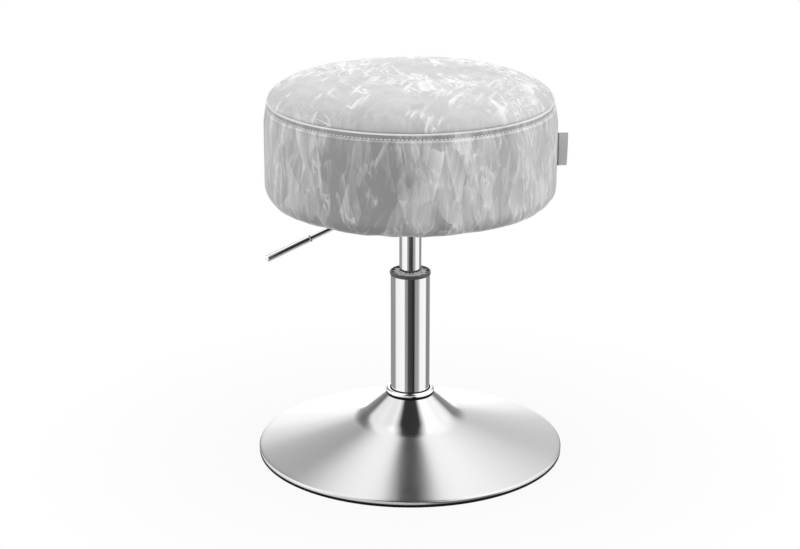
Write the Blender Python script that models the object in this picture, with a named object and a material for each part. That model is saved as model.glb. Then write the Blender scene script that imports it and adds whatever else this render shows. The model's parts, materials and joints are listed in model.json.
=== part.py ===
"""Swivel vanity stool: trumpet base, gas-lift column, release lever and a thick round seat.

Units are metres, +Z is up and the origin is on the floor, on the column's axis.
"""

import math

import bmesh
import bpy
from mathutils import Vector

# Fits
GAP = 0.0003  # between pieces that touch or are pressed together
SLIDE_GAP = 0.0004  # between a sliding or turning piece and its guide
WELD = 1e-6  # points nearer than this are one point

# Facets
BROAD_SIDES = 40  # base and seat covers
TUBE_SIDES = 24  # column, gas cylinder and pan
HIDDEN_SIDES = 20  # board, foam and dust cover
SMALL_SIDES = 12  # small turned pieces
LEVER_SIDES = 16
BOLT_SIDES = 12  # a hexagon with its flats halved
ARC_STEP = math.radians(24)  # largest turn between two points of a rounded corner
FILLET_SHARE = 0.9  # most of a neighbouring side that a fillet may take
SHARP_ANGLE = math.radians(35)

# Base
BASE_RADIUS = 0.1965
BASE_HEIGHT = 0.0754
BASE_SHEET = 0.0015
NECK_RADIUS = 0.0298
NECK_FILLET = 0.003
CREASE_RADIUS = 0.065  # where the neck's cone meets the brim
CREASE_HEIGHT = 0.0424
CREASE_FILLET = 0.030
BRIM_EDGE_HEIGHT = 0.0074
RIM_FILLET = 0.0022
FLOOR_RING_HEIGHT = 0.0027
FLOOR_RING_INSET = 0.0007  # rubber behind the rim
FLOOR_RING_WIDTH = 0.0072
UPSTAND_HEIGHT = 0.0035
UPSTAND_WIDTH = 0.0030

# Column
COLUMN_RADIUS = 0.025
COLUMN_WALL = 0.002
COLUMN_TOP = 0.2360
COLUMN_BOTTOM = 0.012
COLUMN_PLATE = 0.003
TAPER_TOP = 0.070
TAPER_RADIUS = 0.023
SOCKET_BOTTOM = 0.016
SOCKET_TOP = 0.066
SOCKET_WALL = 0.003
GUSSET_COUNT = 4
GUSSET_THICKNESS = 0.004
GUSSET_REACH = 0.120
GUSSET_BOTTOM = 0.016
GUSSET_TURN = math.radians(45)
TRIM_HEIGHT = 0.0076
TRIM_WIDTH = 0.0057
BUSH_LENGTH = 0.078
COLLAR_RADIUS = 0.026
COLLAR_HEIGHT = 0.0045
COLLAR_RIM = 0.0022
COLLAR_RECESS = 0.0014
COLLAR_EDGE = 0.0008
COLLAR_PLUG = 0.004  # part of the collar inside the tube
COLLAR_PLUG_WALL = 0.004

# Thrust bearing
BALL_COUNT = 8
BALL_RADIUS = 0.002
BALL_CIRCLE = 0.0082
RACE_RADIUS = 0.0115
RACE_THICKNESS = 0.002
CAGE_THICKNESS = 0.0012
CAGE_WIDTH = 0.0048
CAGE_POCKET_GAP = 0.0003

# Gas spring
ROD_RADIUS = 0.005
ROD_END_RADIUS = 0.004
ROD_END_LENGTH = 0.006  # rod below the column's bottom plate
CLIP_THICKNESS = 0.001
CLIP_WIDTH = 0.0025
CLIP_GROOVE = 0.0008
CLIP_MOUTH = math.radians(70)
WASHER_UNDER = 0.0012
WASHER_UNDER_RADIUS = 0.009
BUMPER_HEIGHT = 0.011
BUMPER_RADIUS = 0.011
CYLINDER_RADIUS = 0.014
CYLINDER_WALL = 0.0017
CYLINDER_TAPER = 0.0006  # fall in radius over the hub
CYLINDER_LIP = 0.0015
CYLINDER_STAND = 0.002  # top of the cylinder above the hub
CYLINDER_EDGE = 0.0008
VALVE_MOUTH = 0.0065
GLAND_LENGTH = 0.016
PISTON_LENGTH = 0.014
PISTON_SEAL_HEIGHT = 0.003
PISTON_SEAL_DEPTH = 0.0018
PISTON_NUT_RADIUS = 0.008
PISTON_NUT_HEIGHT = 0.005
VALVE_LENGTH = 0.016
LIFT_DOWN = 0.045
LIFT_UP = 0.060
STOP_MARGIN = 0.004  # room left at each end of the stroke

# Seat mechanism
EXPOSED_CYLINDER = 0.0535  # collar to hub at the photographed height
HUB_RADIUS = 0.021
HUB_HEIGHT = 0.0142
SPIGOT_RADIUS = 0.0185
SPIGOT_HEIGHT = 0.009
PLATE_SHEET = 0.0025
PLATE_RADIUS = 0.080
PAN_FLOOR_RADIUS = 0.050
PAN_MOUTH_RADIUS = 0.056
PAN_DEPTH = 0.0247
PAN_FILLET = 0.004
BOLT_COUNT = 4
BOLT_CIRCLE = 0.068
BOLT_TURN = math.radians(45)
BOLT_RADIUS = 0.003
BOLT_HEAD_RADIUS = 0.0058
BOLT_HEAD_HEIGHT = 0.004
WASHER_RADIUS = 0.0075
WASHER_THICKNESS = 0.0012
TEE_FLANGE_RADIUS = 0.0095
TEE_FLANGE_THICKNESS = 0.0015
TEE_BARREL_RADIUS = 0.0045
TEE_BARREL_LENGTH = 0.009

# Release lever and valve button
LEVER_AZIMUTH = math.radians(195)
LEVER_RADIUS = 0.0035
LEVER_OVERRUN = 0.004  # rod past the button's axis
LEVER_PIVOT = 0.040
LEVER_BEND = 0.0462
LEVER_BEND_RADIUS = 0.012
LEVER_SLOPE = math.radians(22)
LEVER_TIP = 0.1861
LEVER_TRAVEL = math.radians(6)
GRIP_RADIUS = 0.00425
GRIP_START = 0.1301
GRIP_END_WALL = 0.004
GRIP_EDGE = 0.0002
GRIP_END_ROUND = 0.003
BARREL_RADIUS = 0.0055
BARREL_LENGTH = 0.012
PIN_RADIUS = 0.002
PIN_HEAD_RADIUS = 0.0035
PIN_HEAD_HEIGHT = 0.0015
BRACKET_SHEET = 0.002
BRACKET_LENGTH = 0.010
BRACKET_SIDE_GAP = 0.0005
EAR_OVER_PIN = 0.0045
SLOT_MARGIN = 0.002
BUTTON_RADIUS = 0.0045
BUTTON_HEIGHT = 0.0038
BUTTON_DOME = 0.0022
STEM_RADIUS = 0.0025
STEM_SHORT = 0.002  # stem end above the valve body's lower face

# Seat
SEAT_RADIUS = 0.1827
SEAM_INSET = 0.0057  # how far the seam lies inside the widest part of the band
BAND_HEIGHT = 0.1297  # hem to seam
BULGE_DEPTH = 0.0335  # stretch below the seam where the band swells out
SEAT_EDGE_ROUND = 0.0232
CROWN_HEIGHT = 0.0305
CROWN_POWER = 2.94
COVER_SHEET = 0.0015
HEM_WIDTH = 0.028
BOARD_THICKNESS = 0.015
BOARD_MARGIN = 0.0035  # foam between the board's edge and the flat of the hem
DUST_SHEET = 0.0008
DUST_OVERLAP = 0.012
DUST_STEP = 0.003
TAG_BELOW_SEAM = 0.0443
TAG_HEIGHT = 0.042
TAG_REACH = 0.0122
TAG_THICKNESS = 0.0012

# Heights that follow from the sizes above
LIP_BOTTOM = FLOOR_RING_HEIGHT + GAP
COLLAR_TOP = COLUMN_TOP + GAP + COLLAR_HEIGHT
BEARING_BOTTOM = COLUMN_BOTTOM + COLUMN_PLATE + GAP
BALL_CENTRE = BEARING_BOTTOM + RACE_THICKNESS + GAP + BALL_RADIUS
UPPER_RACE_BOTTOM = BALL_CENTRE + BALL_RADIUS + GAP
ROD_SHOULDER = UPPER_RACE_BOTTOM + RACE_THICKNESS + GAP
BUMPER_BOTTOM = ROD_SHOULDER + GAP
BUMPER_TOP = BUMPER_BOTTOM + BUMPER_HEIGHT
ROD_BOTTOM = COLUMN_BOTTOM - ROD_END_LENGTH
CYLINDER_BOTTOM = BUMPER_TOP + LIFT_DOWN + STOP_MARGIN
GLAND_BOTTOM = CYLINDER_BOTTOM + CYLINDER_LIP + GAP
GLAND_TOP = GLAND_BOTTOM + GLAND_LENGTH
PISTON_BOTTOM = GLAND_TOP + LIFT_UP + STOP_MARGIN
PISTON_TOP = PISTON_BOTTOM + PISTON_LENGTH
NUT_BOTTOM = PISTON_TOP + GAP
ROD_TOP = NUT_BOTTOM + PISTON_NUT_HEIGHT
HUB_BOTTOM = COLLAR_TOP + EXPOSED_CYLINDER
HUB_SHOULDER = HUB_BOTTOM + HUB_HEIGHT
HUB_TOP = HUB_SHOULDER + SPIGOT_HEIGHT
CYLINDER_TOP = HUB_TOP + CYLINDER_STAND
BUTTON_TRAVEL = LEVER_PIVOT * LEVER_TRAVEL
VALVE_TOP = CYLINDER_TOP - BUTTON_TRAVEL - 2 * GAP
VALVE_BOTTOM = VALVE_TOP - VALVE_LENGTH
BUTTON_BOTTOM = CYLINDER_TOP + GAP
BUTTON_TOP = BUTTON_BOTTOM + BUTTON_HEIGHT
LEVER_HEIGHT = BUTTON_TOP + GAP + LEVER_RADIUS
PAN_FLOOR = HUB_SHOULDER + GAP + PLATE_SHEET
PLATE_TOP = PAN_FLOOR + PAN_DEPTH
BOARD_BOTTOM = PLATE_TOP + GAP + DUST_SHEET + GAP
BOARD_TOP = BOARD_BOTTOM + BOARD_THICKNESS
HEM_BOTTOM = BOARD_BOTTOM - GAP - COVER_SHEET
SEAM_HEIGHT = HEM_BOTTOM + BAND_HEIGHT

# Radii that follow from the sizes above
COLUMN_BORE = COLUMN_RADIUS - COLUMN_WALL
CYLINDER_BORE = CYLINDER_RADIUS - CYLINDER_WALL
CYLINDER_TOP_RADIUS = CYLINDER_RADIUS - CYLINDER_TAPER
BOARD_RADIUS = SEAT_RADIUS - SEAT_EDGE_ROUND - BOARD_MARGIN
HEM_RADIUS = BOARD_RADIUS - HEM_WIDTH
SEAM_RADIUS = SEAT_RADIUS - SEAM_INSET

# Finishes: colour, metallic, roughness
SATIN_STEEL = ((0.62, 0.62, 0.62), 1.0, 0.28)
CHROME = ((0.80, 0.80, 0.80), 1.0, 0.06)
PLAIN_STEEL = ((0.42, 0.43, 0.44), 1.0, 0.45)
ZINC = ((0.55, 0.56, 0.56), 1.0, 0.35)
BRASS = ((0.62, 0.48, 0.22), 1.0, 0.35)
BLACK_PAINT = ((0.02, 0.02, 0.02), 0.0, 0.5)
BLACK_RUBBER = ((0.015, 0.015, 0.015), 0.0, 0.8)
DARK_PLASTIC = ((0.06, 0.06, 0.065), 0.0, 0.45)
WHITE_PLASTIC = ((0.75, 0.75, 0.72), 0.0, 0.5)
VELVET = ((0.58, 0.58, 0.59), 0.0, 0.6)
TAG_CLOTH = ((0.24, 0.24, 0.25), 0.0, 0.85)
BLACK_CLOTH = ((0.02, 0.02, 0.022), 0.0, 0.9)
PLYWOOD = ((0.55, 0.40, 0.24), 0.0, 0.7)
FOAM = ((0.80, 0.76, 0.60), 0.0, 0.95)


# Outlines


def rounded(corners):
    """A path through (radius, height, fillet) corners, with an arc at each corner that has a fillet."""
    path = []
    for i, (x, y, fillet) in enumerate(corners):
        here = Vector((x, y))
        if fillet == 0 or i in (0, len(corners) - 1):
            path.append((x, y))
            continue
        back = (Vector(corners[i - 1][:2]) - here).normalized()
        ahead = (Vector(corners[i + 1][:2]) - here).normalized()
        turn = math.pi - back.angle(ahead)
        room = min((Vector(near[:2]) - here).length for near in (corners[i - 1], corners[i + 1]))
        reach = min(fillet * math.tan(turn / 2), FILLET_SHARE * room)
        fillet = reach / math.tan(turn / 2)
        centre = here + (back + ahead).normalized() * fillet / math.cos(turn / 2)
        start = here + back * reach - centre
        side = math.copysign(1, back.x * ahead.y - back.y * ahead.x)
        steps = math.ceil(turn / ARC_STEP)
        for step in range(steps + 1):
            angle = -side * turn * step / steps
            spoke = Vector(
                (
                    start.x * math.cos(angle) - start.y * math.sin(angle),
                    start.x * math.sin(angle) + start.y * math.cos(angle),
                )
            )
            path.append(tuple(centre + spoke))
    return path


def offset(path, distance):
    """The path moved sideways, to the right of its direction."""
    moved = []
    for i, point in enumerate(path):
        before = Vector(point) - Vector(path[i - 1]) if i else None
        after = Vector(path[i + 1]) - Vector(point) if i + 1 < len(path) else None
        sides = [Vector((run.y, -run.x)).normalized() for run in (before, after) if run]
        middle = sum(sides, Vector((0, 0))).normalized()
        moved.append(tuple(Vector(point) + middle * distance / middle.dot(sides[0])))
    return moved


def sheet(path, thickness):
    """The closed outline of a sheet whose outer face runs along the path."""
    return path + offset(path, thickness)[::-1]


def crossing(path, value, axis):
    """The point where the path first passes this radius (axis 0) or height (axis 1)."""
    for near, far in zip(path, path[1:]):
        if (near[axis] - value) * (far[axis] - value) <= 0 and near[axis] != far[axis]:
            share = (value - near[axis]) / (far[axis] - near[axis])
            return tuple(Vector(near).lerp(Vector(far), share))


def ring_outline(inner, outer, bottom, top):
    return [(inner, top), (outer, top), (outer, bottom), (inner, bottom)]


def bar_outline(radius, bottom, top):
    return ring_outline(0, radius, bottom, top)


def dome_outline(radius, height, top):
    """A quarter ellipse from the axis out to the full radius."""
    steps = 4
    angles = [math.pi / 2 * step / steps for step in range(steps + 1)]
    return [(radius * math.sin(angle), top - height * (1 - math.cos(angle))) for angle in angles]


def column_radius(height):
    """Outer radius of the column, which tapers into the base."""
    share = (height - COLUMN_BOTTOM) / (TAPER_TOP - COLUMN_BOTTOM)
    return TAPER_RADIUS + (COLUMN_RADIUS - TAPER_RADIUS) * min(1, share)


def base_path():
    """Outer face of the trumpet base, from the bore of the neck to the lip of the rim."""
    return rounded(
        [
            (COLUMN_RADIUS + SLIDE_GAP, BASE_HEIGHT, 0),
            (NECK_RADIUS, BASE_HEIGHT, NECK_FILLET),
            (CREASE_RADIUS, CREASE_HEIGHT, CREASE_FILLET),
            (BASE_RADIUS, BRIM_EDGE_HEIGHT, RIM_FILLET),
            (BASE_RADIUS, LIP_BOTTOM, 0),
        ]
    )


def crown_path():
    """Outer face of the top panel, from the middle of the seat to the seam."""
    steps = 9
    path = []
    for step in range(steps + 1):
        share = math.sin(math.pi / 2 * step / steps)
        rise = CROWN_HEIGHT * math.sqrt(1 - share**CROWN_POWER)
        path.append((SEAM_RADIUS * share, SEAM_HEIGHT + rise))
    return path


def bulge_path():
    """Outer face of the band from the seam down to where it hangs straight."""
    steps = 4
    path = []
    for step in range(steps + 1):
        share = step / steps
        swell = SEAM_INSET * math.sin(math.pi / 2 * share)
        path.append((SEAM_RADIUS + swell, SEAM_HEIGHT - BULGE_DEPTH * share))
    return path


def skirt_path(end_radius):
    """Outer face of the band below the bulge, round the lower edge and in under the board."""
    return rounded(
        [
            (SEAT_RADIUS, SEAM_HEIGHT - BULGE_DEPTH, 0),
            (SEAT_RADIUS, HEM_BOTTOM, SEAT_EDGE_ROUND),
            (end_radius, HEM_BOTTOM, 0),
        ]
    )


def around(count, radius, turn):
    """Places evenly round the axis, with the azimuth of each."""
    for i in range(count):
        azimuth = turn + 2 * math.pi * i / count
        yield i + 1, azimuth, Vector((radius * math.cos(azimuth), radius * math.sin(azimuth), 0))


# Solids


def finish(mesh, look):
    """Give a mesh smooth faces and a material of its own."""
    mesh.shade_smooth()
    mesh.set_sharp_from_angle(angle=SHARP_ANGLE)
    colour, metallic, roughness = look
    material = bpy.data.materials.new(mesh.name)
    material.use_nodes = True
    shader = material.node_tree.nodes["Principled BSDF"]
    shader.inputs["Base Color"].default_value = (*colour, 1)
    shader.inputs["Metallic"].default_value = metallic
    shader.inputs["Roughness"].default_value = roughness
    material.diffuse_color = (*colour, 1)
    mesh.materials.append(material)


def closed_mesh(name, shape, look):
    """Turn a bmesh into a mesh with its faces pointing out."""
    bmesh.ops.remove_doubles(shape, verts=shape.verts, dist=WELD)
    bmesh.ops.recalc_face_normals(shape, faces=shape.faces)
    mesh = bpy.data.meshes.new(name)
    shape.to_mesh(mesh)
    shape.free()
    finish(mesh, look)
    return mesh


def spun(outline, sides):
    """A bmesh of the outline of (radius, height) points turned about Z."""
    shape = bmesh.new()
    points = [shape.verts.new((radius, 0, height)) for radius, height in outline]
    edges = []
    for last, point in zip(points[-1:] + points[:-1], points):
        if last.co.x > WELD or point.co.x > WELD:
            edges.append(shape.edges.new((last, point)))
    bmesh.ops.spin(
        shape,
        geom=points + edges,
        cent=(0, 0, 0),
        axis=(0, 0, 1),
        angle=2 * math.pi,
        steps=sides,
        use_merge=True,
    )
    return shape


def turned(name, outline, sides, look):
    return closed_mesh(name, spun(outline, sides), look)


def hexagonal(name, outline, round_within, look):
    """A turned piece whose parts beyond a radius are hexagonal."""
    shape = spun(outline, BOLT_SIDES)
    for point in shape.verts:
        if math.hypot(point.co.x, point.co.y) > round_within:
            step = round(math.atan2(point.co.y, point.co.x) / (2 * math.pi / BOLT_SIDES))
            if step % 2:
                point.co.xy *= math.cos(math.pi / 6)
    return closed_mesh(name, shape, look)


def extruded(name, outline, thickness, look):
    """A plate with this outline in XY, half its thickness to each side of Z = 0."""
    shape = bmesh.new()
    points = [shape.verts.new((x, y, -thickness / 2)) for x, y in outline]
    face = shape.faces.new(points)
    made = bmesh.ops.extrude_face_region(shape, geom=[face])
    far = [item for item in made["geom"] if isinstance(item, bmesh.types.BMVert)]
    bmesh.ops.translate(shape, vec=(0, 0, thickness), verts=far)
    return closed_mesh(name, shape, look)


def swept(name, path, radius, sides, look):
    """A round bar along a path in XZ."""
    shape = bmesh.new()
    rings = []
    for i, point in enumerate(path):
        here = Vector(point)
        before = (here - Vector(path[i - 1])).normalized() if i else None
        after = (Vector(path[i + 1]) - here).normalized() if i + 1 < len(path) else None
        runs = [run for run in (before, after) if run]
        along = sum(runs, Vector((0, 0))).normalized()
        across = Vector((-along.y, along.x)) * radius / along.dot(runs[0])
        ring = []
        for step in range(sides):
            angle = 2 * math.pi * step / sides
            middle = here + across * math.cos(angle)
            ring.append(shape.verts.new((middle.x, radius * math.sin(angle), middle.y)))
        rings.append(ring)
    for near, far in zip(rings, rings[1:]):
        for i in range(sides):
            shape.faces.new((near[i - 1], near[i], far[i], far[i - 1]))
    shape.faces.new(rings[0])
    shape.faces.new(rings[-1])
    return closed_mesh(name, shape, look)


# Placing


def pivot(name, parent, at, turn=0.0):
    """An empty on a joint's axis. Its place is given in its parent's frame."""
    empty = bpy.data.objects.new(name, None)
    bpy.context.scene.collection.objects.link(empty)
    empty.empty_display_size = 0.03
    empty.parent = parent
    empty.location = at
    empty.rotation_euler = (0, 0, turn)
    return empty


def placed(name, mesh, parent, at=(0, 0, 0), turn=(0, 0, 0)):
    """An object with this mesh, in its parent's frame."""
    piece = bpy.data.objects.new(name, mesh)
    bpy.context.scene.collection.objects.link(piece)
    piece.parent = parent
    piece.location = at
    piece.rotation_euler = turn
    return piece


def tool(name, mesh, parent, at=(0, 0, 0), turn=(0, 0, 0)):
    """A helper for a Boolean, which isn't a piece of the stool."""
    helper = placed(name, mesh, parent, at, turn)
    helper.hide_render = True
    helper.display_type = "WIRE"
    return helper


def combine(piece, helper, operation):
    change = piece.modifiers.new(helper.name, "BOOLEAN")
    change.operation = operation
    change.solver = "EXACT"
    change.object = helper


def holes(name, outline, sides, places, look):
    """One cutter mesh with the same turned shape at several places."""
    shape = bmesh.new()
    for place in places:
        copy = spun(outline, sides)
        bmesh.ops.translate(copy, vec=place, verts=copy.verts)
        mesh = bpy.data.meshes.new(name)
        copy.to_mesh(mesh)
        copy.free()
        shape.from_mesh(mesh)
        bpy.data.meshes.remove(mesh)
    return closed_mesh(name, shape, look)


# Base pieces


def make_base(frame):
    path = base_path()
    placed("base_shell", turned("base_shell", sheet(path, BASE_SHEET), BROAD_SIDES, SATIN_STEEL), frame)

    outer = BASE_RADIUS - FLOOR_RING_INSET
    lip_inside = BASE_RADIUS - BASE_SHEET - GAP
    outline = [
        (outer, FLOOR_RING_HEIGHT),
        (outer, 0),
        (outer - FLOOR_RING_WIDTH, 0),
        (outer - FLOOR_RING_WIDTH, FLOOR_RING_HEIGHT),
        (lip_inside - UPSTAND_WIDTH, FLOOR_RING_HEIGHT),
        (lip_inside - UPSTAND_WIDTH, FLOOR_RING_HEIGHT + UPSTAND_HEIGHT),
        (lip_inside, FLOOR_RING_HEIGHT + UPSTAND_HEIGHT),
        (lip_inside, FLOOR_RING_HEIGHT),
    ]
    placed("floor_ring", turned("floor_ring", outline, BROAD_SIDES, BLACK_RUBBER), frame)

    bore = [(column_radius(height) + GAP, height) for height in (SOCKET_TOP, SOCKET_BOTTOM)]
    outline = bore + [(radius + SOCKET_WALL, height) for radius, height in bore[::-1]]
    placed("base_socket", turned("base_socket", outline, TUBE_SIDES, PLAIN_STEEL), frame)

    under = offset(path, BASE_SHEET + GAP)
    weld_top = column_radius(SOCKET_TOP) + SOCKET_WALL + 2 * GAP
    weld_bottom = column_radius(GUSSET_BOTTOM) + SOCKET_WALL + 2 * GAP
    start = crossing(under, SOCKET_TOP, 1)
    end = crossing(under, GUSSET_REACH, 0)
    outline = [(weld_bottom, GUSSET_BOTTOM), (weld_top, SOCKET_TOP), start]
    outline += [point for point in under if start[0] < point[0] < end[0]]
    outline += [end, (GUSSET_REACH, GUSSET_BOTTOM)]
    plate = extruded("socket_gusset", outline, GUSSET_THICKNESS, BLACK_PAINT)
    for number, azimuth, _ in around(GUSSET_COUNT, 0, GUSSET_TURN):
        placed(f"socket_gusset_{number}", plate, frame, turn=(math.pi / 2, 0, azimuth))


def make_column(frame):
    plate_bore = ROD_END_RADIUS + 2 * SLIDE_GAP
    plate_top = COLUMN_BOTTOM + COLUMN_PLATE
    outline = [
        (COLUMN_BORE, COLUMN_TOP),
        (COLUMN_RADIUS, COLUMN_TOP),
        (COLUMN_RADIUS, TAPER_TOP),
        (TAPER_RADIUS, COLUMN_BOTTOM),
        (plate_bore, COLUMN_BOTTOM),
        (plate_bore, plate_top),
        (column_radius(plate_top) - COLUMN_WALL, plate_top),
        (COLUMN_BORE, TAPER_TOP),
    ]
    placed("column_tube", turned("column_tube", outline, TUBE_SIDES, CHROME), frame)

    inner = COLUMN_RADIUS + GAP
    middle = BASE_HEIGHT + GAP + TRIM_HEIGHT / 2
    steps = 6
    outline = [(inner, BASE_HEIGHT + GAP)]
    for step in range(1, steps):
        angle = math.pi * (step / steps - 0.5)
        outline.append((inner + TRIM_WIDTH * math.cos(angle), middle + TRIM_HEIGHT / 2 * math.sin(angle)))
    outline.append((inner, BASE_HEIGHT + GAP + TRIM_HEIGHT))
    placed("trim_ring", turned("trim_ring", outline[::-1], TUBE_SIDES, CHROME), frame)

    bore = CYLINDER_RADIUS + SLIDE_GAP
    plug_top = COLUMN_TOP + GAP
    plug_bottom = plug_top - COLLAR_PLUG
    plug_radius = COLUMN_BORE - GAP
    floor = COLLAR_TOP - COLLAR_RECESS
    outline = [
        (bore, floor),
        (COLLAR_RADIUS - COLLAR_RIM - COLLAR_EDGE, floor),
        (COLLAR_RADIUS - COLLAR_RIM, COLLAR_TOP),
        (COLLAR_RADIUS - COLLAR_EDGE, COLLAR_TOP),
        (COLLAR_RADIUS, COLLAR_TOP - COLLAR_EDGE),
        (COLLAR_RADIUS, plug_top),
        (plug_radius, plug_top),
        (plug_radius, plug_bottom),
        (plug_radius - COLLAR_PLUG_WALL, plug_bottom),
        (plug_radius - COLLAR_PLUG_WALL, plug_top),
        (bore, plug_top),
    ]
    placed("collar_cap", turned("collar_cap", outline, TUBE_SIDES, DARK_PLASTIC), frame)

    bush_top = plug_bottom - GAP
    outline = ring_outline(bore, plug_radius, bush_top - BUSH_LENGTH, bush_top)
    placed("guide_bush", turned("guide_bush", outline, TUBE_SIDES, WHITE_PLASTIC), frame)

    race_bore = ROD_END_RADIUS + SLIDE_GAP
    outline = ring_outline(race_bore, RACE_RADIUS, BEARING_BOTTOM, BEARING_BOTTOM + RACE_THICKNESS)
    placed("bearing_lower_race", turned("bearing_lower_race", outline, SMALL_SIDES, PLAIN_STEEL), frame)


# Bearing cage and balls


def make_cage(frame):
    half = CAGE_THICKNESS / 2
    outline = ring_outline(BALL_CIRCLE - CAGE_WIDTH / 2, BALL_CIRCLE + CAGE_WIDTH / 2, -half, half)
    middle = (0, 0, BALL_CENTRE)
    cage = placed("bearing_cage", turned("bearing_cage", outline, TUBE_SIDES, BRASS), frame, middle)
    places = [place for _, _, place in around(BALL_COUNT, BALL_CIRCLE, 0)]
    pocket = bar_outline(BALL_RADIUS + CAGE_POCKET_GAP, -BALL_RADIUS, BALL_RADIUS)
    cutter = holes("cage_pockets", pocket, BOLT_SIDES, places, BRASS)
    combine(cage, tool("cage_pockets", cutter, frame, middle), "DIFFERENCE")

    shape = bmesh.new()
    bmesh.ops.create_icosphere(shape, subdivisions=2, radius=BALL_RADIUS)
    ball = closed_mesh("bearing_ball", shape, PLAIN_STEEL)
    for number, _, place in around(BALL_COUNT, BALL_CIRCLE, 0):
        placed(f"bearing_ball_{number}", ball, frame, place + Vector(middle))


# Spindle pieces, which turn but stay at one height


def make_spindle(frame):
    clip_top = COLUMN_BOTTOM - GAP - WASHER_UNDER - GAP
    groove_top = clip_top + GAP
    groove_bottom = clip_top - CLIP_THICKNESS - GAP
    groove = ROD_END_RADIUS - CLIP_GROOVE
    outline = [
        (0, ROD_TOP),
        (ROD_END_RADIUS, ROD_TOP),
        (ROD_END_RADIUS, PISTON_BOTTOM),
        (ROD_RADIUS, PISTON_BOTTOM),
        (ROD_RADIUS, ROD_SHOULDER),
        (ROD_END_RADIUS, ROD_SHOULDER),
        (ROD_END_RADIUS, groove_top),
        (groove, groove_top),
        (groove, groove_bottom),
        (ROD_END_RADIUS, groove_bottom),
        (ROD_END_RADIUS, ROD_BOTTOM),
        (0, ROD_BOTTOM),
    ]
    placed("piston_rod", turned("piston_rod", outline, SMALL_SIDES, CHROME), frame)

    race_bore = ROD_END_RADIUS + GAP
    outline = ring_outline(race_bore, RACE_RADIUS, UPPER_RACE_BOTTOM, UPPER_RACE_BOTTOM + RACE_THICKNESS)
    placed("bearing_upper_race", turned("bearing_upper_race", outline, SMALL_SIDES, PLAIN_STEEL), frame)

    outline = ring_outline(ROD_RADIUS + GAP, BUMPER_RADIUS, BUMPER_BOTTOM, BUMPER_TOP)
    placed("rod_bumper", turned("rod_bumper", outline, SMALL_SIDES, BLACK_RUBBER), frame)

    washer_top = COLUMN_BOTTOM - GAP
    outline = ring_outline(race_bore, WASHER_UNDER_RADIUS, washer_top - WASHER_UNDER, washer_top)
    placed("retaining_washer", turned("retaining_washer", outline, SMALL_SIDES, ZINC), frame)

    steps = 14
    inside = groove + GAP
    angles = [CLIP_MOUTH / 2 + (2 * math.pi - CLIP_MOUTH) * step / steps for step in range(steps + 1)]
    outline = [(inside * math.cos(angle), inside * math.sin(angle)) for angle in angles]
    outside = inside + CLIP_WIDTH
    outline += [(outside * math.cos(angle), outside * math.sin(angle)) for angle in angles[::-1]]
    clip = extruded("retaining_clip", outline, CLIP_THICKNESS, PLAIN_STEEL)
    placed("retaining_clip", clip, frame, (0, 0, clip_top - CLIP_THICKNESS / 2))

    hole = ROD_END_RADIUS + GAP
    outer = CYLINDER_BORE - SLIDE_GAP
    seal_floor = outer - PISTON_SEAL_DEPTH
    middle = (PISTON_BOTTOM + PISTON_TOP) / 2
    seal_top = middle + PISTON_SEAL_HEIGHT / 2
    seal_bottom = middle - PISTON_SEAL_HEIGHT / 2
    outline = [
        (hole, PISTON_TOP),
        (outer, PISTON_TOP),
        (outer, seal_top + GAP),
        (seal_floor, seal_top + GAP),
        (seal_floor, seal_bottom - GAP),
        (outer, seal_bottom - GAP),
        (outer, PISTON_BOTTOM + GAP),
        (hole, PISTON_BOTTOM + GAP),
    ]
    placed("piston", turned("piston", outline, SMALL_SIDES, BRASS), frame)
    outline = ring_outline(seal_floor + GAP, CYLINDER_BORE - GAP, seal_bottom, seal_top)
    placed("piston_seal", turned("piston_seal", outline, SMALL_SIDES, BLACK_RUBBER), frame)
    outline = ring_outline(hole, PISTON_NUT_RADIUS, NUT_BOTTOM, ROD_TOP - GAP)
    nut = hexagonal("piston_nut", outline, ROD_RADIUS, ZINC)
    placed("piston_nut", nut, frame)


# Gas cylinder and the pan that it carries


def make_cylinder(frame):
    valve_seat = VALVE_TOP + GAP
    outline = [
        (VALVE_MOUTH, CYLINDER_TOP),
        (CYLINDER_TOP_RADIUS - CYLINDER_EDGE, CYLINDER_TOP),
        (CYLINDER_TOP_RADIUS, CYLINDER_TOP - CYLINDER_EDGE),
        (CYLINDER_TOP_RADIUS, HUB_TOP),
        (CYLINDER_RADIUS, HUB_BOTTOM),
        (CYLINDER_RADIUS, CYLINDER_BOTTOM),
        (CYLINDER_BORE - CYLINDER_LIP, CYLINDER_BOTTOM),
        (CYLINDER_BORE - CYLINDER_LIP, CYLINDER_BOTTOM + CYLINDER_LIP),
        (CYLINDER_BORE, CYLINDER_BOTTOM + CYLINDER_LIP),
        (CYLINDER_BORE, valve_seat),
        (VALVE_MOUTH, valve_seat),
    ]
    placed("gas_cylinder", turned("gas_cylinder", outline, TUBE_SIDES, CHROME), frame)

    outline = ring_outline(ROD_RADIUS + SLIDE_GAP, CYLINDER_BORE - GAP, GLAND_BOTTOM, GLAND_TOP)
    placed("cylinder_gland", turned("cylinder_gland", outline, SMALL_SIDES, DARK_PLASTIC), frame)

    outline = ring_outline(STEM_RADIUS + SLIDE_GAP, CYLINDER_BORE - GAP, VALVE_BOTTOM, VALVE_TOP)
    placed("valve_body", turned("valve_body", outline, SMALL_SIDES, BRASS), frame)

    outline = [
        (CYLINDER_TOP_RADIUS + GAP, HUB_TOP),
        (SPIGOT_RADIUS, HUB_TOP),
        (SPIGOT_RADIUS, HUB_SHOULDER),
        (HUB_RADIUS, HUB_SHOULDER),
        (HUB_RADIUS, HUB_BOTTOM),
        (CYLINDER_RADIUS + GAP, HUB_BOTTOM),
    ]
    placed("taper_hub", turned("taper_hub", outline, TUBE_SIDES, PLAIN_STEEL), frame)


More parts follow.
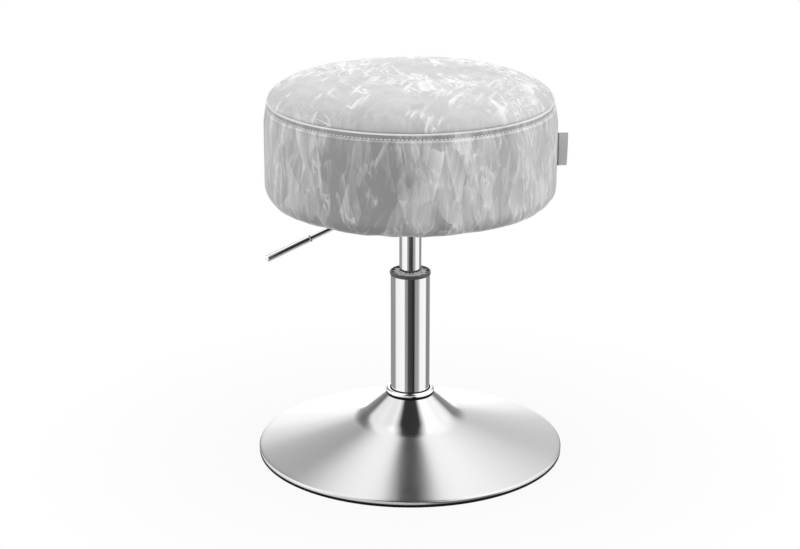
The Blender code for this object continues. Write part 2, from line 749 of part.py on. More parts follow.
def make_plate(frame):
    path = rounded(
        [
            (SPIGOT_RADIUS + GAP, PAN_FLOOR, 0),
            (PAN_FLOOR_RADIUS, PAN_FLOOR, PAN_FILLET),
            (PAN_MOUTH_RADIUS, PLATE_TOP, PAN_FILLET),
            (PLATE_RADIUS, PLATE_TOP, 0),
        ]
    )
    pan = turned("mount_plate", sheet(path, PLATE_SHEET), TUBE_SIDES, BLACK_PAINT)
    plate = placed("mount_plate", pan, frame)

    hole = BOLT_RADIUS + GAP
    places = [place for _, _, place in around(BOLT_COUNT, BOLT_CIRCLE, BOLT_TURN)]
    low = PLATE_TOP - 2 * PLATE_SHEET
    cutter = holes("bolt_holes", bar_outline(hole, low, BOARD_BOTTOM), BOLT_SIDES, places, BLACK_PAINT)
    bolt_holes = tool("bolt_holes", cutter, frame)
    combine(plate, bolt_holes, "DIFFERENCE")

    washer_top = PLATE_TOP - PLATE_SHEET - GAP
    washer_bottom = washer_top - WASHER_THICKNESS
    outline = ring_outline(hole, WASHER_RADIUS, washer_bottom, washer_top)
    washer = turned("plate_washer", outline, SMALL_SIDES, ZINC)

    head_top = washer_bottom - GAP
    shank_top = BOARD_TOP - TEE_FLANGE_THICKNESS
    outline = [
        (0, shank_top),
        (BOLT_RADIUS, shank_top),
        (BOLT_RADIUS, head_top),
        (BOLT_HEAD_RADIUS, head_top),
        (BOLT_HEAD_RADIUS, head_top - BOLT_HEAD_HEIGHT),
        (0, head_top - BOLT_HEAD_HEIGHT),
    ]
    bolt = hexagonal("plate_bolt", outline, (BOLT_RADIUS + BOLT_HEAD_RADIUS) / 2, ZINC)

    tee_top = BOARD_TOP - GAP
    flange_bottom = tee_top - TEE_FLANGE_THICKNESS
    barrel_bottom = flange_bottom - TEE_BARREL_LENGTH
    outline = [
        (hole, tee_top),
        (TEE_FLANGE_RADIUS, tee_top),
        (TEE_FLANGE_RADIUS, flange_bottom),
        (TEE_BARREL_RADIUS, flange_bottom),
        (TEE_BARREL_RADIUS, barrel_bottom),
        (hole, barrel_bottom),
    ]
    tee = turned("tee_nut", outline, BOLT_SIDES, ZINC)
    for number, _, place in around(BOLT_COUNT, BOLT_CIRCLE, BOLT_TURN):
        placed(f"plate_bolt_{number}", bolt, frame, place)
        placed(f"plate_washer_{number}", washer, frame, place)
        placed(f"tee_nut_{number}", tee, frame, place)
    return plate, bolt_holes


# Lever, its pivot and the button


def make_lever(seat, plate):
    azimuth = LEVER_AZIMUTH
    out = Vector((math.cos(azimuth), math.sin(azimuth), 0))
    at = out * LEVER_PIVOT + Vector((0, 0, LEVER_HEIGHT))
    swing = pivot("lever_pivot", seat, at, azimuth)
    across = (math.pi / 2, 0, 0)

    bend = LEVER_BEND - LEVER_PIVOT
    slope = math.tan(LEVER_SLOPE)
    rod_end = LEVER_TIP - GRIP_END_WALL * math.cos(LEVER_SLOPE) - LEVER_PIVOT
    path = rounded(
        [
            (-LEVER_PIVOT - LEVER_OVERRUN, 0, 0),
            (bend, 0, LEVER_BEND_RADIUS),
            (rod_end, -(rod_end - bend) * slope, 0),
        ]
    )
    rod = swept("release_lever", path, LEVER_RADIUS, LEVER_SIDES, CHROME)
    lever = placed("release_lever", rod, swing)
    half = BARREL_LENGTH / 2
    barrel = turned("lever_barrel", bar_outline(BARREL_RADIUS, -half, half), LEVER_SIDES, CHROME)
    combine(lever, tool("lever_barrel", barrel, swing, turn=across), "UNION")
    bore = PIN_RADIUS + GAP
    drill = turned("pin_bore", bar_outline(bore, -BARREL_LENGTH, BARREL_LENGTH), SMALL_SIDES, CHROME)
    combine(lever, tool("pin_bore", drill, swing, turn=across), "DIFFERENCE")

    start = GRIP_START - LEVER_PIVOT
    length = (LEVER_TIP - GRIP_START) / math.cos(LEVER_SLOPE)
    sleeve_bore = LEVER_RADIUS + GAP
    floor = length - GRIP_END_WALL + GAP
    edge = min(GRIP_EDGE, FILLET_SHARE * (GRIP_RADIUS - sleeve_bore))
    outline = dome_outline(GRIP_RADIUS, GRIP_END_ROUND, length) + [
        (GRIP_RADIUS, edge),
        (GRIP_RADIUS - edge, 0),
        (sleeve_bore, 0),
        (sleeve_bore, floor),
        (0, floor),
    ]
    grip = turned("lever_grip", outline, LEVER_SIDES, CHROME)
    place = (start, 0, -(start - bend) * slope)
    placed("lever_grip", grip, swing, place, (0, math.pi / 2 + LEVER_SLOPE, 0))

    # The bracket is a channel across the lever, open at the top, with the pin through its sides.
    stand = pivot("lever_bracket_place", seat, at, azimuth)
    inside = half + BRACKET_SIDE_GAP
    outside = inside + BRACKET_SHEET
    bottom = PAN_FLOOR + GAP - LEVER_HEIGHT
    outline = [
        (-outside, bottom),
        (outside, bottom),
        (outside, EAR_OVER_PIN),
        (inside, EAR_OVER_PIN),
        (inside, bottom + BRACKET_SHEET),
        (-inside, bottom + BRACKET_SHEET),
        (-inside, EAR_OVER_PIN),
        (-outside, EAR_OVER_PIN),
    ]
    channel = extruded("lever_bracket", outline, BRACKET_LENGTH, PLAIN_STEEL)
    bracket = placed("lever_bracket", channel, stand, turn=(math.pi / 2, 0, math.pi / 2))
    drill = turned("ear_bore", bar_outline(bore, -2 * outside, 2 * outside), SMALL_SIDES, PLAIN_STEEL)
    combine(bracket, tool("ear_bore", drill, stand, turn=across), "DIFFERENCE")

    head = outside + GAP
    outline = [
        (0, head + PIN_HEAD_HEIGHT),
        (PIN_HEAD_RADIUS, head + PIN_HEAD_HEIGHT),
        (PIN_HEAD_RADIUS, head),
        (PIN_RADIUS, head),
        (PIN_RADIUS, -head - PIN_HEAD_HEIGHT),
        (0, -head - PIN_HEAD_HEIGHT),
    ]
    placed("lever_pin", turned("lever_pin", outline, SMALL_SIDES, ZINC), stand, turn=across)

    # The pan has a slot for the rod, tall enough for its travel.
    wall = (PAN_FLOOR_RADIUS + PAN_MOUTH_RADIUS + PLATE_SHEET) / 2
    drop = (wall - LEVER_BEND) * slope
    rise = (wall - LEVER_PIVOT) * LEVER_TRAVEL
    low = -drop - LEVER_RADIUS - SLOT_MARGIN
    high = rise - drop + LEVER_RADIUS + SLOT_MARGIN
    side = LEVER_RADIUS + SLOT_MARGIN
    outline = [(-side, low), (side, low), (side, high), (-side, high)]
    length = PAN_MOUTH_RADIUS - PAN_FLOOR_RADIUS + 6 * PLATE_SHEET
    slot = extruded("lever_slot", outline, length, BLACK_PAINT)
    cutter = tool("lever_slot", slot, stand, (wall - LEVER_PIVOT, 0, 0), (math.pi / 2, 0, math.pi / 2))
    combine(plate, cutter, "DIFFERENCE")


def make_button(frame):
    stem_bottom = VALVE_BOTTOM + STEM_SHORT
    outline = dome_outline(BUTTON_RADIUS, BUTTON_DOME, BUTTON_TOP)
    outline += [(BUTTON_RADIUS, BUTTON_BOTTOM), (STEM_RADIUS, BUTTON_BOTTOM)]
    outline += [(STEM_RADIUS, stem_bottom), (0, stem_bottom)]
    placed("valve_button", turned("valve_button", outline, SMALL_SIDES, WHITE_PLASTIC), frame)


# Upholstered seat


def make_seat(frame, bolt_holes):
    places = [place for _, _, place in around(BOLT_COUNT, BOLT_CIRCLE, BOLT_TURN)]
    disc = bar_outline(BOARD_RADIUS, BOARD_BOTTOM, BOARD_TOP)
    board = placed("seat_board", turned("seat_board", disc, HIDDEN_SIDES, PLYWOOD), frame)
    over = BOARD_TOP + BOARD_THICKNESS
    under = BOARD_BOTTOM - BOARD_THICKNESS
    flange_floor = BOARD_TOP - TEE_FLANGE_THICKNESS - 2 * GAP
    outline = [
        (0, over),
        (TEE_FLANGE_RADIUS + GAP, over),
        (TEE_FLANGE_RADIUS + GAP, flange_floor),
        (TEE_BARREL_RADIUS + GAP, flange_floor),
        (TEE_BARREL_RADIUS + GAP, under),
        (0, under),
    ]
    cutter = holes("tee_nut_holes", outline, BOLT_SIDES, places, PLYWOOD)
    combine(board, tool("tee_nut_holes", cutter, frame), "DIFFERENCE")

    filling = COVER_SHEET + GAP
    split = SEAM_HEIGHT - BULGE_DEPTH
    skirt = offset(skirt_path(HEM_RADIUS), filling)
    skirt = [point for point in skirt if point[0] > BOARD_RADIUS + GAP]
    inner = BOARD_RADIUS + GAP
    outline = [(0, split)] + skirt
    outline += [(inner, BOARD_BOTTOM), (inner, BOARD_TOP + GAP), (0, BOARD_TOP + GAP)]
    placed("foam_block", turned("foam_block", outline, HIDDEN_SIDES, FOAM), frame)

    dome = offset(crown_path(), filling)
    dome[0] = (0, dome[0][1])
    side = offset(bulge_path(), filling)
    outline = [point for point in dome if point[1] > SEAM_HEIGHT] + side[1:]
    outline[-1] = (SEAT_RADIUS - filling, split + GAP)
    outline.append((0, split + GAP))
    placed("foam_top", turned("foam_top", outline, HIDDEN_SIDES, FOAM), frame)

    outside = crown_path()
    inside = offset(outside, COVER_SHEET)
    inside[0] = (0, outside[0][1] - COVER_SHEET)
    inside[-1] = (SEAM_RADIUS - COVER_SHEET, SEAM_HEIGHT)
    raised = [(radius, height + GAP / 2) for radius, height in outside + inside[::-1]]
    placed("cover_top", turned("cover_top", raised, BROAD_SIDES, VELVET), frame)

    outside = bulge_path() + skirt_path(HEM_RADIUS)[1:]
    outside[0] = (SEAM_RADIUS, SEAM_HEIGHT - GAP / 2)
    inside = offset(outside, COVER_SHEET)
    inside[0] = (SEAM_RADIUS - COVER_SHEET, SEAM_HEIGHT - GAP / 2)
    placed("cover_band", turned("cover_band", outside + inside[::-1], BROAD_SIDES, VELVET), frame)

    over_hem = HEM_BOTTOM - GAP
    outside = [
        (0, BOARD_BOTTOM - GAP),
        (HEM_RADIUS - DUST_STEP, BOARD_BOTTOM - GAP),
        (HEM_RADIUS - GAP, over_hem),
        (HEM_RADIUS + DUST_OVERLAP, over_hem),
    ]
    outline = sheet(outside, DUST_SHEET)
    cloth = placed("dust_cover", turned("dust_cover", outline, HIDDEN_SIDES, BLACK_CLOTH), frame)
    combine(cloth, bolt_holes, "DIFFERENCE")

    inner = SEAT_RADIUS + GAP
    outer = inner + TAG_REACH
    fold = TAG_THICKNESS / 2
    outline = [
        (inner, -fold),
        (outer - fold, -fold),
        (outer, 0),
        (outer - fold, fold),
        (inner, fold),
    ]
    tag = extruded("side_tag", outline, TAG_HEIGHT, TAG_CLOTH)
    placed("side_tag", tag, frame, (0, 0, SEAM_HEIGHT - TAG_BELOW_SEAM - TAG_HEIGHT / 2))


def main():
    for item in list(bpy.data.objects):
        bpy.data.objects.remove(item)
    base = pivot("stool", None, (0, 0, 0))
    cage = pivot("cage_axis", base, (0, 0, 0))
    spindle = pivot("swivel_axis", base, (0, 0, 0))
    seat = pivot("lift_axis", spindle, (0, 0, 0))
    button = pivot("button_axis", seat, (0, 0, 0))
    make_base(base)
    make_column(base)
    make_cage(cage)
    make_spindle(spindle)
    make_cylinder(seat)
    plate, bolt_holes = make_plate(seat)
    make_lever(seat, plate)
    make_button(button)
    make_seat(seat, bolt_holes)


main()
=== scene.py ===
"""Looks of a swivel vanity stool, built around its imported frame.

Units are metres, +Z is up and the origin is on the floor, on the column's axis. The camera looks along +Y.
"""

import json
import math

import bmesh
import bpy
import numpy as np
from mathutils import Matrix, Vector

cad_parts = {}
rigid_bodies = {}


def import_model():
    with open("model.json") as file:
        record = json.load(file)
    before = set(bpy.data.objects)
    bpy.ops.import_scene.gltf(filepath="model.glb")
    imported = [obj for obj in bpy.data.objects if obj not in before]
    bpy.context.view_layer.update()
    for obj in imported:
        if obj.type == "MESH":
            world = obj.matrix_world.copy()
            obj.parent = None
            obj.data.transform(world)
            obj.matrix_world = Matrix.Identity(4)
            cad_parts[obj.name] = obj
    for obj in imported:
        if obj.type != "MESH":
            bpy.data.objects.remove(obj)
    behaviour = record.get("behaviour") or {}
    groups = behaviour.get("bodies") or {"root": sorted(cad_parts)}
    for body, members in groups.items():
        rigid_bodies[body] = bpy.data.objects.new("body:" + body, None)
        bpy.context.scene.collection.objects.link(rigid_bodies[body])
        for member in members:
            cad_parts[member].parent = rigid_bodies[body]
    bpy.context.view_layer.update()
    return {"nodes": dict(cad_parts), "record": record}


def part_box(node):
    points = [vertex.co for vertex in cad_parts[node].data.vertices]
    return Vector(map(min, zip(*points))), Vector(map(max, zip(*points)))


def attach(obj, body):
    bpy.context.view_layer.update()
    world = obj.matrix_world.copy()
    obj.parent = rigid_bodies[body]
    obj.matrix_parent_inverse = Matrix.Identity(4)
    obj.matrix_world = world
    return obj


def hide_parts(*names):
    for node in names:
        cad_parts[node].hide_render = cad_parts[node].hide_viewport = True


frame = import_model()


def radius(node):
    """Outer radius of a turned node."""
    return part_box(node)[1].x


def bottom(node):
    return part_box(node)[0].z


def top(node):
    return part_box(node)[1].z


# Facets and clearances
BROAD_SIDES = 192
TUBE_SIDES = 96
SMALL_SIDES = 40
HOLE_SIDES = 24
ARC_STEP = math.radians(6)
ARC_CHORD = 0.002
SHARP_ANGLE = math.radians(38)
GAP = 0.0003  # between pieces
WELD_GAP = 0.0001  # between pieces that stand for one CAD solid
WELD = 1e-7  # points nearer than this become one
DRILL_OVERRUN = 0.01

# Base
BASE_RADIUS = radius("base_shell")
BASE_HEIGHT = top("base_shell")
BASE_SHEET = 0.0015
NECK_RADIUS = 0.0298
NECK_FILLET = 0.003
CREASE_RADIUS = 0.064
CREASE_HEIGHT = 0.0445
CREASE_FILLET = 0.050
FLARE_RADIUS = 0.150
FLARE_HEIGHT = 0.0193
FLARE_FILLET = 2.4
BRIM_EDGE_HEIGHT = 0.0074
RIM_FILLET = 0.0022
RIM_TUCK = 0.0008
LIP_LIFT = 0.0007
LIP_BOTTOM = bottom("base_shell") + LIP_LIFT
RUBBER_WIDTH = 0.0072
RUBBER_UPSTAND = 0.003
RUBBER_EDGE = 0.0004

# Column
COLUMN_RADIUS = radius("column_tube")
COLUMN_WALL = 0.002
COLUMN_PLATE = 0.003
PISTON_HOLE = 0.0048
TAPER_TOP = 0.070
TAPER_RADIUS = 0.023
GASKET = 0.0011
GASKET_FLANGE = 0.0007
GASKET_REACH = 0.0306
BEAD_DROP = 0.0007
BEAD_STEPS = 28
CYLINDER_RADIUS = radius("gas_cylinder")
CYLINDER_WALL = 0.0017
CYLINDER_CAP = 0.006
CYLINDER_MOUTH = 0.0065
CYLINDER_TAPER = 0.0006
CYLINDER_EDGE = 0.0008

# Collar
COLLAR_RADIUS = radius("collar_cap")
COLLAR_TOP = top("collar_cap")
COLLAR_HEIGHT = 0.0045
COLLAR_RIM = 0.0022
COLLAR_FLOOR = 0.0008
COLLAR_RECESS = 0.0012
COLLAR_PLAY = 0.0004
COLLAR_DRAFT = 0.0002
COLLAR_EDGE = 0.0007
COLLAR_ROUND = 0.0012
INSERT_EDGE = 0.0003
COLLAR_SLOTS = 14
SLOT_FACETS = 12
SLOT_DEPTH = 0.0036
SLOT_SHARE = 0.6  # of the way round that the slots take

# Seat
SEAM_RADIUS = radius("cover_top")
SEAM_HEIGHT = bottom("cover_top")
CROWN_HEIGHT = top("cover_top") - SEAM_HEIGHT
CROWN_POWER = 2.94
CROWN_STEPS = 70
CROWN_SIDES = 336
SEAT_RADIUS = radius("cover_band")
HEM_BOTTOM = bottom("cover_band")
HEM_RADIUS = 0.128
BULGE_DEPTH = 0.0335
BULGE_STEPS = 60
BULGE_POWER = 1.2  # sets the steps closer towards the seam
EDGE_ROUND = 0.0232
BAND_STEP = 0.005
COVER_SHEET = 0.0015
LINING_STEP = 6  # rows of the outer face to one of the lining
STITCH_PITCH = 0.005
STITCH_LENGTH = 0.0034
STITCH_DROP = 0.0076  # stitch line below the seam
STITCH_SINK = 0.0010
THREAD_RADIUS = 0.00056
STITCHES = round(math.tau * SEAM_RADIUS / STITCH_PITCH)

# Camera, fitted to the outlines of the rim, the seam and the seat
CAMERA_PLACE = (-0.0131, -2.5848, 1.0899)
CAMERA_PITCH = math.radians(18.30)
CAMERA_LENS = 96.28
SENSOR_WIDTH = 36


# Outlines


def rounded(corners):
    """A path through (radius, height, fillet) corners, with an arc at each corner that has a fillet."""
    path = []
    for i, (x, y, fillet) in enumerate(corners):
        here = Vector((x, y))
        if fillet == 0 or i in (0, len(corners) - 1):
            path.append((x, y))
            continue
        back = (Vector(corners[i - 1][:2]) - here).normalized()
        ahead = (Vector(corners[i + 1][:2]) - here).normalized()
        turn = math.pi - back.angle(ahead)
        reach = fillet * math.tan(turn / 2)
        centre = here + (back + ahead).normalized() * fillet / math.cos(turn / 2)
        start = here + back * reach - centre
        side = math.copysign(1, back.x * ahead.y - back.y * ahead.x)
        steps = math.ceil(max(turn / ARC_STEP, fillet * turn / ARC_CHORD))
        for step in range(steps + 1):
            spoke = start.copy()
            spoke.rotate(Matrix.Rotation(-side * turn * step / steps, 2))
            path.append(tuple(centre + spoke))
    return path


def runs(path, i):
    """Directions into and out of a point of a path, or the one of them that it has at an end."""
    beside = [Vector(point) for point in path[max(0, i - 1) : i + 2]]
    return [(far - near).normalized() for near, far in zip(beside, beside[1:])]


def offset(path, distance):
    """The path moved sideways, to the right of its direction."""
    moved = []
    for i, point in enumerate(path):
        sides = [Vector((run.y, -run.x)) for run in runs(path, i)]
        middle = sum(sides, Vector((0, 0))).normalized()
        moved.append(tuple(Vector(point) + middle * distance / middle.dot(sides[0])))
    return moved


# Meshes and pieces


def smoothed(mesh):
    mesh.shade_smooth()
    mesh.set_sharp_from_angle(angle=SHARP_ANGLE)
    return mesh


def closed_mesh(shape):
    bmesh.ops.remove_doubles(shape, verts=shape.verts, dist=WELD)
    bmesh.ops.recalc_face_normals(shape, faces=shape.faces)
    mesh = bpy.data.meshes.new("mesh")
    shape.to_mesh(mesh)
    shape.free()
    return smoothed(mesh)


def add_grid(shape, rows, ends):
    """Faces through rows of points that each go once round.

    A ring joins the last row to the first, caps close both, and at poles each of the two is a single point.
    """
    points = [[shape.verts.new(point) for point in row] for row in rows]
    pairs = list(zip(points, points[1:]))
    if ends == "ring":
        pairs.append((points[-1], points[0]))
    for near, far in pairs:
        for i in range(len(near)):
            shape.faces.new((near[i - 1], near[i], far[i], far[i - 1]))
    if ends == "caps":
        shape.faces.new(points[0])
        shape.faces.new(points[-1])


def grid_mesh(rows, ends="ring"):
    shape = bmesh.new()
    add_grid(shape, rows, ends)
    return closed_mesh(shape)


def azimuths(sides):
    return math.tau * np.arange(sides) / sides


def ring(reach, height, turn):
    """Points at these azimuths round the axis."""
    return np.stack([reach * np.cos(turn), reach * np.sin(turn), height + 0 * turn], axis=-1)


def turned(outline, sides):
    """A mesh of a closed outline of (radius, height) points turned about Z."""
    return grid_mesh([ring(r, z, azimuths(sides)) for r, z in outline])


def bar(size, low, high, sides):
    """A round bar along Z."""
    return grid_mesh([ring(size, z, azimuths(sides)) for z in (low, high)], ends="caps")


def swept(path, size, sides):
    """A round bar along a path in XZ."""
    rows = []
    for i, point in enumerate(path):
        beside = runs(path, i)
        along = sum(beside, Vector((0, 0))).normalized()
        across = Vector((-along.y, along.x)) * size / along.dot(beside[0])
        row = []
        for angle in azimuths(sides):
            middle = Vector(point) + across * math.cos(angle)
            row.append((middle.x, size * math.sin(angle), middle.y))
        rows.append(row)
    return grid_mesh(rows, ends="caps")


def placed(name, data):
    """A new object in the scene."""
    made = bpy.data.objects.new(name, data)
    bpy.context.scene.collection.objects.link(made)
    return made


def combined(mesh, tool, operation):
    """The mesh after a Boolean with another mesh."""
    pair = [placed("boolean", part) for part in (mesh, tool)]
    change = pair[0].modifiers.new("boolean", "BOOLEAN")
    change.operation = operation
    change.object = pair[1]
    seen = pair[0].evaluated_get(bpy.context.evaluated_depsgraph_get())
    result = bpy.data.meshes.new_from_object(seen)
    for part in pair:
        bpy.data.objects.remove(part)
    return smoothed(result)


def piece(name, mesh, slot, body, *nodes, look=None, place=None):
    """A piece in its slot's material or another look, on a body, that stands for these CAD nodes."""
    made = placed(name, mesh)
    mesh.name = name
    if place is not None:
        mesh.transform(place)
    mesh.materials.clear()
    mesh.materials.append(look or LOOKS[slot])
    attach(made, body)
    if nodes:
        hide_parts(*nodes)
    return made


# Material nodes


def add(kind, inputs, tree=None, **settings):
    """A shader node with its settings, and each input set to a value or linked to a socket.

    It goes into the tree of the sockets that it is linked to, or else into the one given.
    """
    sockets = [value for value in inputs.values() if isinstance(value, bpy.types.NodeSocket)]
    tree = tree or sockets[0].id_data
    node = tree.nodes.new("ShaderNode" + kind)
    for name, value in settings.items():
        setattr(node, name, value)
    for socket, value in inputs.items():
        if value in sockets:
            tree.links.new(value, node.inputs[socket])
        else:
            node.inputs[socket].default_value = value
    return node


def math_node(operation, *values):
    return add("Math", dict(enumerate(values)), operation=operation).outputs[0]


def times(first, *others):
    for value in others:
        first = math_node("MULTIPLY", first, value)
    return first


def total(terms, start=0.0):
    """The sum of values times their weights, on top of a start."""
    for value, weight in terms:
        start = math_node("ADD", start, times(value, weight))
    return start


def brightest(first, *others):
    for value in others:
        first = math_node("MAXIMUM", first, value)
    return first


def vector_node(operation, *values):
    return add("VectorMath", dict(enumerate(values)), operation=operation).outputs[0]


def measure(operation, *vectors):
    """A number from vectors: a length or a dot product."""
    return add("VectorMath", dict(enumerate(vectors)), operation=operation).outputs["Value"]


def scaled(vector, factor):
    return add("VectorMath", {0: vector, "Scale": factor}, operation="SCALE").outputs[0]


def plane(u, v):
    return add("CombineXYZ", {0: u, 1: v}).outputs[0]


def split(vector):
    return add("SeparateXYZ", {0: vector}).outputs


def object_place(tree):
    return add("TexCoord", {}, tree).outputs["Object"]


def stretch(place, scale):
    """Places times a scale for each axis."""
    return add("Mapping", {"Vector": place, "Scale": scale}).outputs[0]


def ramp(value, stops):
    """A ramp through (position, grey or colour) stops."""
    node = add("ValToRGB", {0: value})
    elements = node.color_ramp.elements
    while len(elements) < len(stops):
        elements.new(0.5)
    for element, (position, colour) in zip(elements, sorted(stops)):
        element.position = position
        grey = (colour,) * 3 if isinstance(colour, (int, float)) else colour
        element.color = (*grey, 1)
    return node.outputs[0]


def tinted(colour, value, low, high):
    """A colour whose brightness follows a value from 0 to 1."""
    dark = tuple(low * part for part in colour)
    light = tuple(high * part for part in colour)
    return ramp(value, [(0, dark), (1, light)])


def mixed(share, first, second):
    return add("Mix", {0: share, 6: first, 7: second}, data_type="RGBA").outputs[2]


def remap(value, low, high, new_low, new_high):
    """A value carried over from one range to another, and held at its ends."""
    inputs = {"Value": value, "From Min": low, "From Max": high, "To Min": new_low, "To Max": new_high}
    return add("MapRange", inputs).outputs[0]


def noise(vector, scale=1.0, detail=2.0, rough=0.5):
    """Outputs of a noise: its value and its colour."""
    inputs = {"Vector": vector, "Scale": scale, "Detail": detail, "Roughness": rough}
    return add("TexNoise", inputs).outputs


def bump(height, distance, strength):
    return add("Bump", {"Height": height, "Distance": distance, "Strength": strength}).outputs[0]


def blank(name, **values):
    """A material, and the places on its object in metres. Values go straight on its shader's own sockets."""
    material = bpy.data.materials.new(name)
    material.use_nodes = True
    shader = material.node_tree.nodes["Principled BSDF"]
    for socket, value in values.items():
        shader.inputs[socket.replace("_", " ")].default_value = value
    return material, object_place(material.node_tree)


def finished(material, **links):
    """The material with these sockets of its shader linked."""
    tree = material.node_tree
    shader = tree.nodes["Principled BSDF"]
    for socket, output in links.items():
        tree.links.new(output, shader.inputs[socket.replace("_", " ")])
    return material


# Materials
STEEL = (0.61, 0.61, 0.61)
NECK_ROUGHNESS = 0.09
BRIM_ROUGHNESS = 0.14
FINISH_BLEND = 0.012
CHROME = (0.86, 0.86, 0.86)
WOOD = (0.58, 0.42, 0.25)
PLIES = 0.003  # from one dark ply to the next
FOAM = (0.80, 0.76, 0.60)
DUSTED = 0.06  # change of roughness by dust
# softness of the painted shadow on the tag where it comes out of the seam
SEAM_SHADOW_SOFT = 0.0003


def satin_steel():
    """Steel spun and brushed round its axis, so its scratches are circles."""
    material, place = blank("satin_steel", Metallic=1.0, Anisotropic=0.5, Anisotropic_Rotation=0.25)
    x, y, z = split(place)
    reach = measure("LENGTH", plane(x, y))
    scratches = noise(plane(reach, z), scale=2600, detail=3, rough=0.7)[0]
    patches = noise(place, scale=14, detail=3)[0]
    inner, outer = CREASE_RADIUS - FINISH_BLEND, CREASE_RADIUS + FINISH_BLEND
    roughness = [
        (remap(reach, inner, outer, NECK_ROUGHNESS, BRIM_ROUGHNESS), 1),
        (remap(scratches, 0.3, 0.7, 0, 0.05), 1),
        (remap(patches, 0, 1, -0.02, 0.02), 1),
    ]
    return finished(
        material,
        Base_Color=tinted(STEEL, scratches, 0.93, 1.05),
        Roughness=total(roughness),
        Normal=bump(scratches, 0.00002, 0.25),
    )


def chrome():
    material, place = blank("chrome", Metallic=1.0)
    smudges = noise(place, scale=22, detail=4, rough=0.6)[0]
    wipes = noise(stretch(place, (900, 900, 40)))[0]
    roughness = [(remap(smudges, 0.3, 0.8, 0.035, 0.075), 1), (remap(wipes, 0, 1, 0, 0.02), 1)]
    colour = tinted(CHROME, wipes, 0.97, 1.03)
    return finished(material, Base_Color=colour, Roughness=total(roughness))


def metal(name, colour, low, high):
    """Plain metal with the faint stains and grain of a part that nobody polishes."""
    material, place = blank(name, Metallic=1.0)
    stains = noise(place, scale=120, detail=4, rough=0.6)[0]
    grain = noise(place, scale=1500)[0]
    return finished(
        material,
        Base_Color=tinted(colour, stains, 0.8, 1.15),
        Roughness=remap(stains, 0.3, 0.7, low, high),
        Normal=bump(grain, 0.00003, 0.3),
    )


def moulded(name, colour, roughness, grain_size, depth, shine=0.5):
    """Rubber, plastic, paint or thread with a fine grain."""
    material, place = blank(name, Specular_IOR_Level=shine)
    grain = noise(place, scale=1 / grain_size, detail=3, rough=0.6)[0]
    dust = noise(place, scale=40, detail=4, rough=0.6)[0]
    return finished(
        material,
        Base_Color=tinted(colour, dust, 0.85, 1.2),
        Roughness=remap(dust, 0.3, 0.7, roughness - DUSTED, roughness + DUSTED),
        Normal=bump(grain, depth, 0.5),
    )


def plywood():
    material, place = blank("plywood", Roughness=0.7)
    grain = noise(stretch(place, (14, 160, 60)), detail=4, rough=0.6)[0]
    height = split(place)[2]
    plies = math_node("SINE", times(height, math.tau / PLIES))
    shade = total([(grain, 1), (plies, 0.08)])
    colour = tinted(WOOD, shade, 0.7, 1.25)
    return finished(material, Base_Color=colour, Normal=bump(grain, 0.0002, 0.3))


def foam():
    material, place = blank("foam", Roughness=0.95)
    pores = add("TexVoronoi", {"Vector": place, "Scale": 700}).outputs["Distance"]
    colour = tinted(FOAM, pores, 1.05, 0.8)
    return finished(material, Base_Color=colour, Normal=bump(pores, 0.0006, 0.5))


def woven(name, colour, pitch, depth, shadow_edge):
    """Plain cloth of uneven threads across and along, with a painted shadow where it comes out of the seam,
    up to the given x.
    """
    material, place = blank(name, Roughness=0.85, Sheen_Weight=0.15, Sheen_Roughness=0.5)
    x, y, z = split(place)
    rate = math.tau / pitch
    across = math_node("SINE", times(math_node("ADD", x, y), rate))
    along = math_node("SINE", times(z, rate))
    threads = remap(times(across, along), -1, 1, 0, 1)
    slub = noise(place, scale=300, detail=3)[0]
    shade = remap(math_node("ADD", threads, slub), 0, 2, 0, 1)
    # painted shadow where the tag comes out of the seam
    sewn = remap(x, shadow_edge - SEAM_SHADOW_SOFT, shadow_edge + SEAM_SHADOW_SOFT, 0.25, 1)
    seen = scaled(tinted(colour, shade, 0.75, 1.25), sewn)
    return finished(material, Base_Color=seen, Normal=bump(threads, depth, 0.6))


def felted(name, colour):
    """Thin sheet of pressed fibres, with a pressed point pattern."""
    material, place = blank(name, Roughness=0.9, Sheen_Weight=0.2, Sheen_Roughness=0.6)
    fibres = noise(place, scale=900, detail=4, rough=0.7)[0]
    inputs = {"Vector": place, "Scale": 420, "Randomness": 0.15}
    points = add("TexVoronoi", inputs).outputs["Distance"]
    height = math_node("ADD", fibres, points)
    seen = tinted(colour, fibres, 0.6, 1.6)
    return finished(material, Base_Color=seen, Normal=bump(height, 0.0002, 0.6))


# Crushed velvet
SEED_STEP = (1.0, 1.7, 0.0)
MIDDLE_GREY = (0.5, 0.5, 0.5)
PILE_LEVEL = 0.2
PILE_TONES = (0.02, 0.35, 0.65, 1.0)
BAND_GREYS = (0.34, 0.52, 0.71, 0.92)
BAND_GRAIN = (520, 520, 60)
CROWN_GREYS = (0.45, 0.56, 0.63, 0.69)
CROWN_GRAIN = (420, 420, 420)
# white of the painted highlights on the velvet
PAINTED_HIGHLIGHT_WHITE = (0.95, 0.95, 0.95, 1)
BRUSHED_EDGE = 0.012
SEAM_SOFT = 0.0006
FOLD_SOFT = 0.0003
HEM_SHADE_HEIGHT = 0.022  # height of the painted shade along the lower edge
PAINTED_SHADE_AZIMUTH = math.radians(-20)  # azimuth of the painted shade on the velvet: from the camera's side, to the left


def lying(u, v, size, slant, seed):
    """Places counted in cells of this size, drawn out along v and leaning by slant."""
    width, length = size
    across = math_node("DIVIDE", math_node("ADD", u, times(v, slant)), width)
    along = math_node("DIVIDE", v, length)
    shift = tuple(seed * part for part in SEED_STEP)
    return vector_node("ADD", plane(across, along), shift)


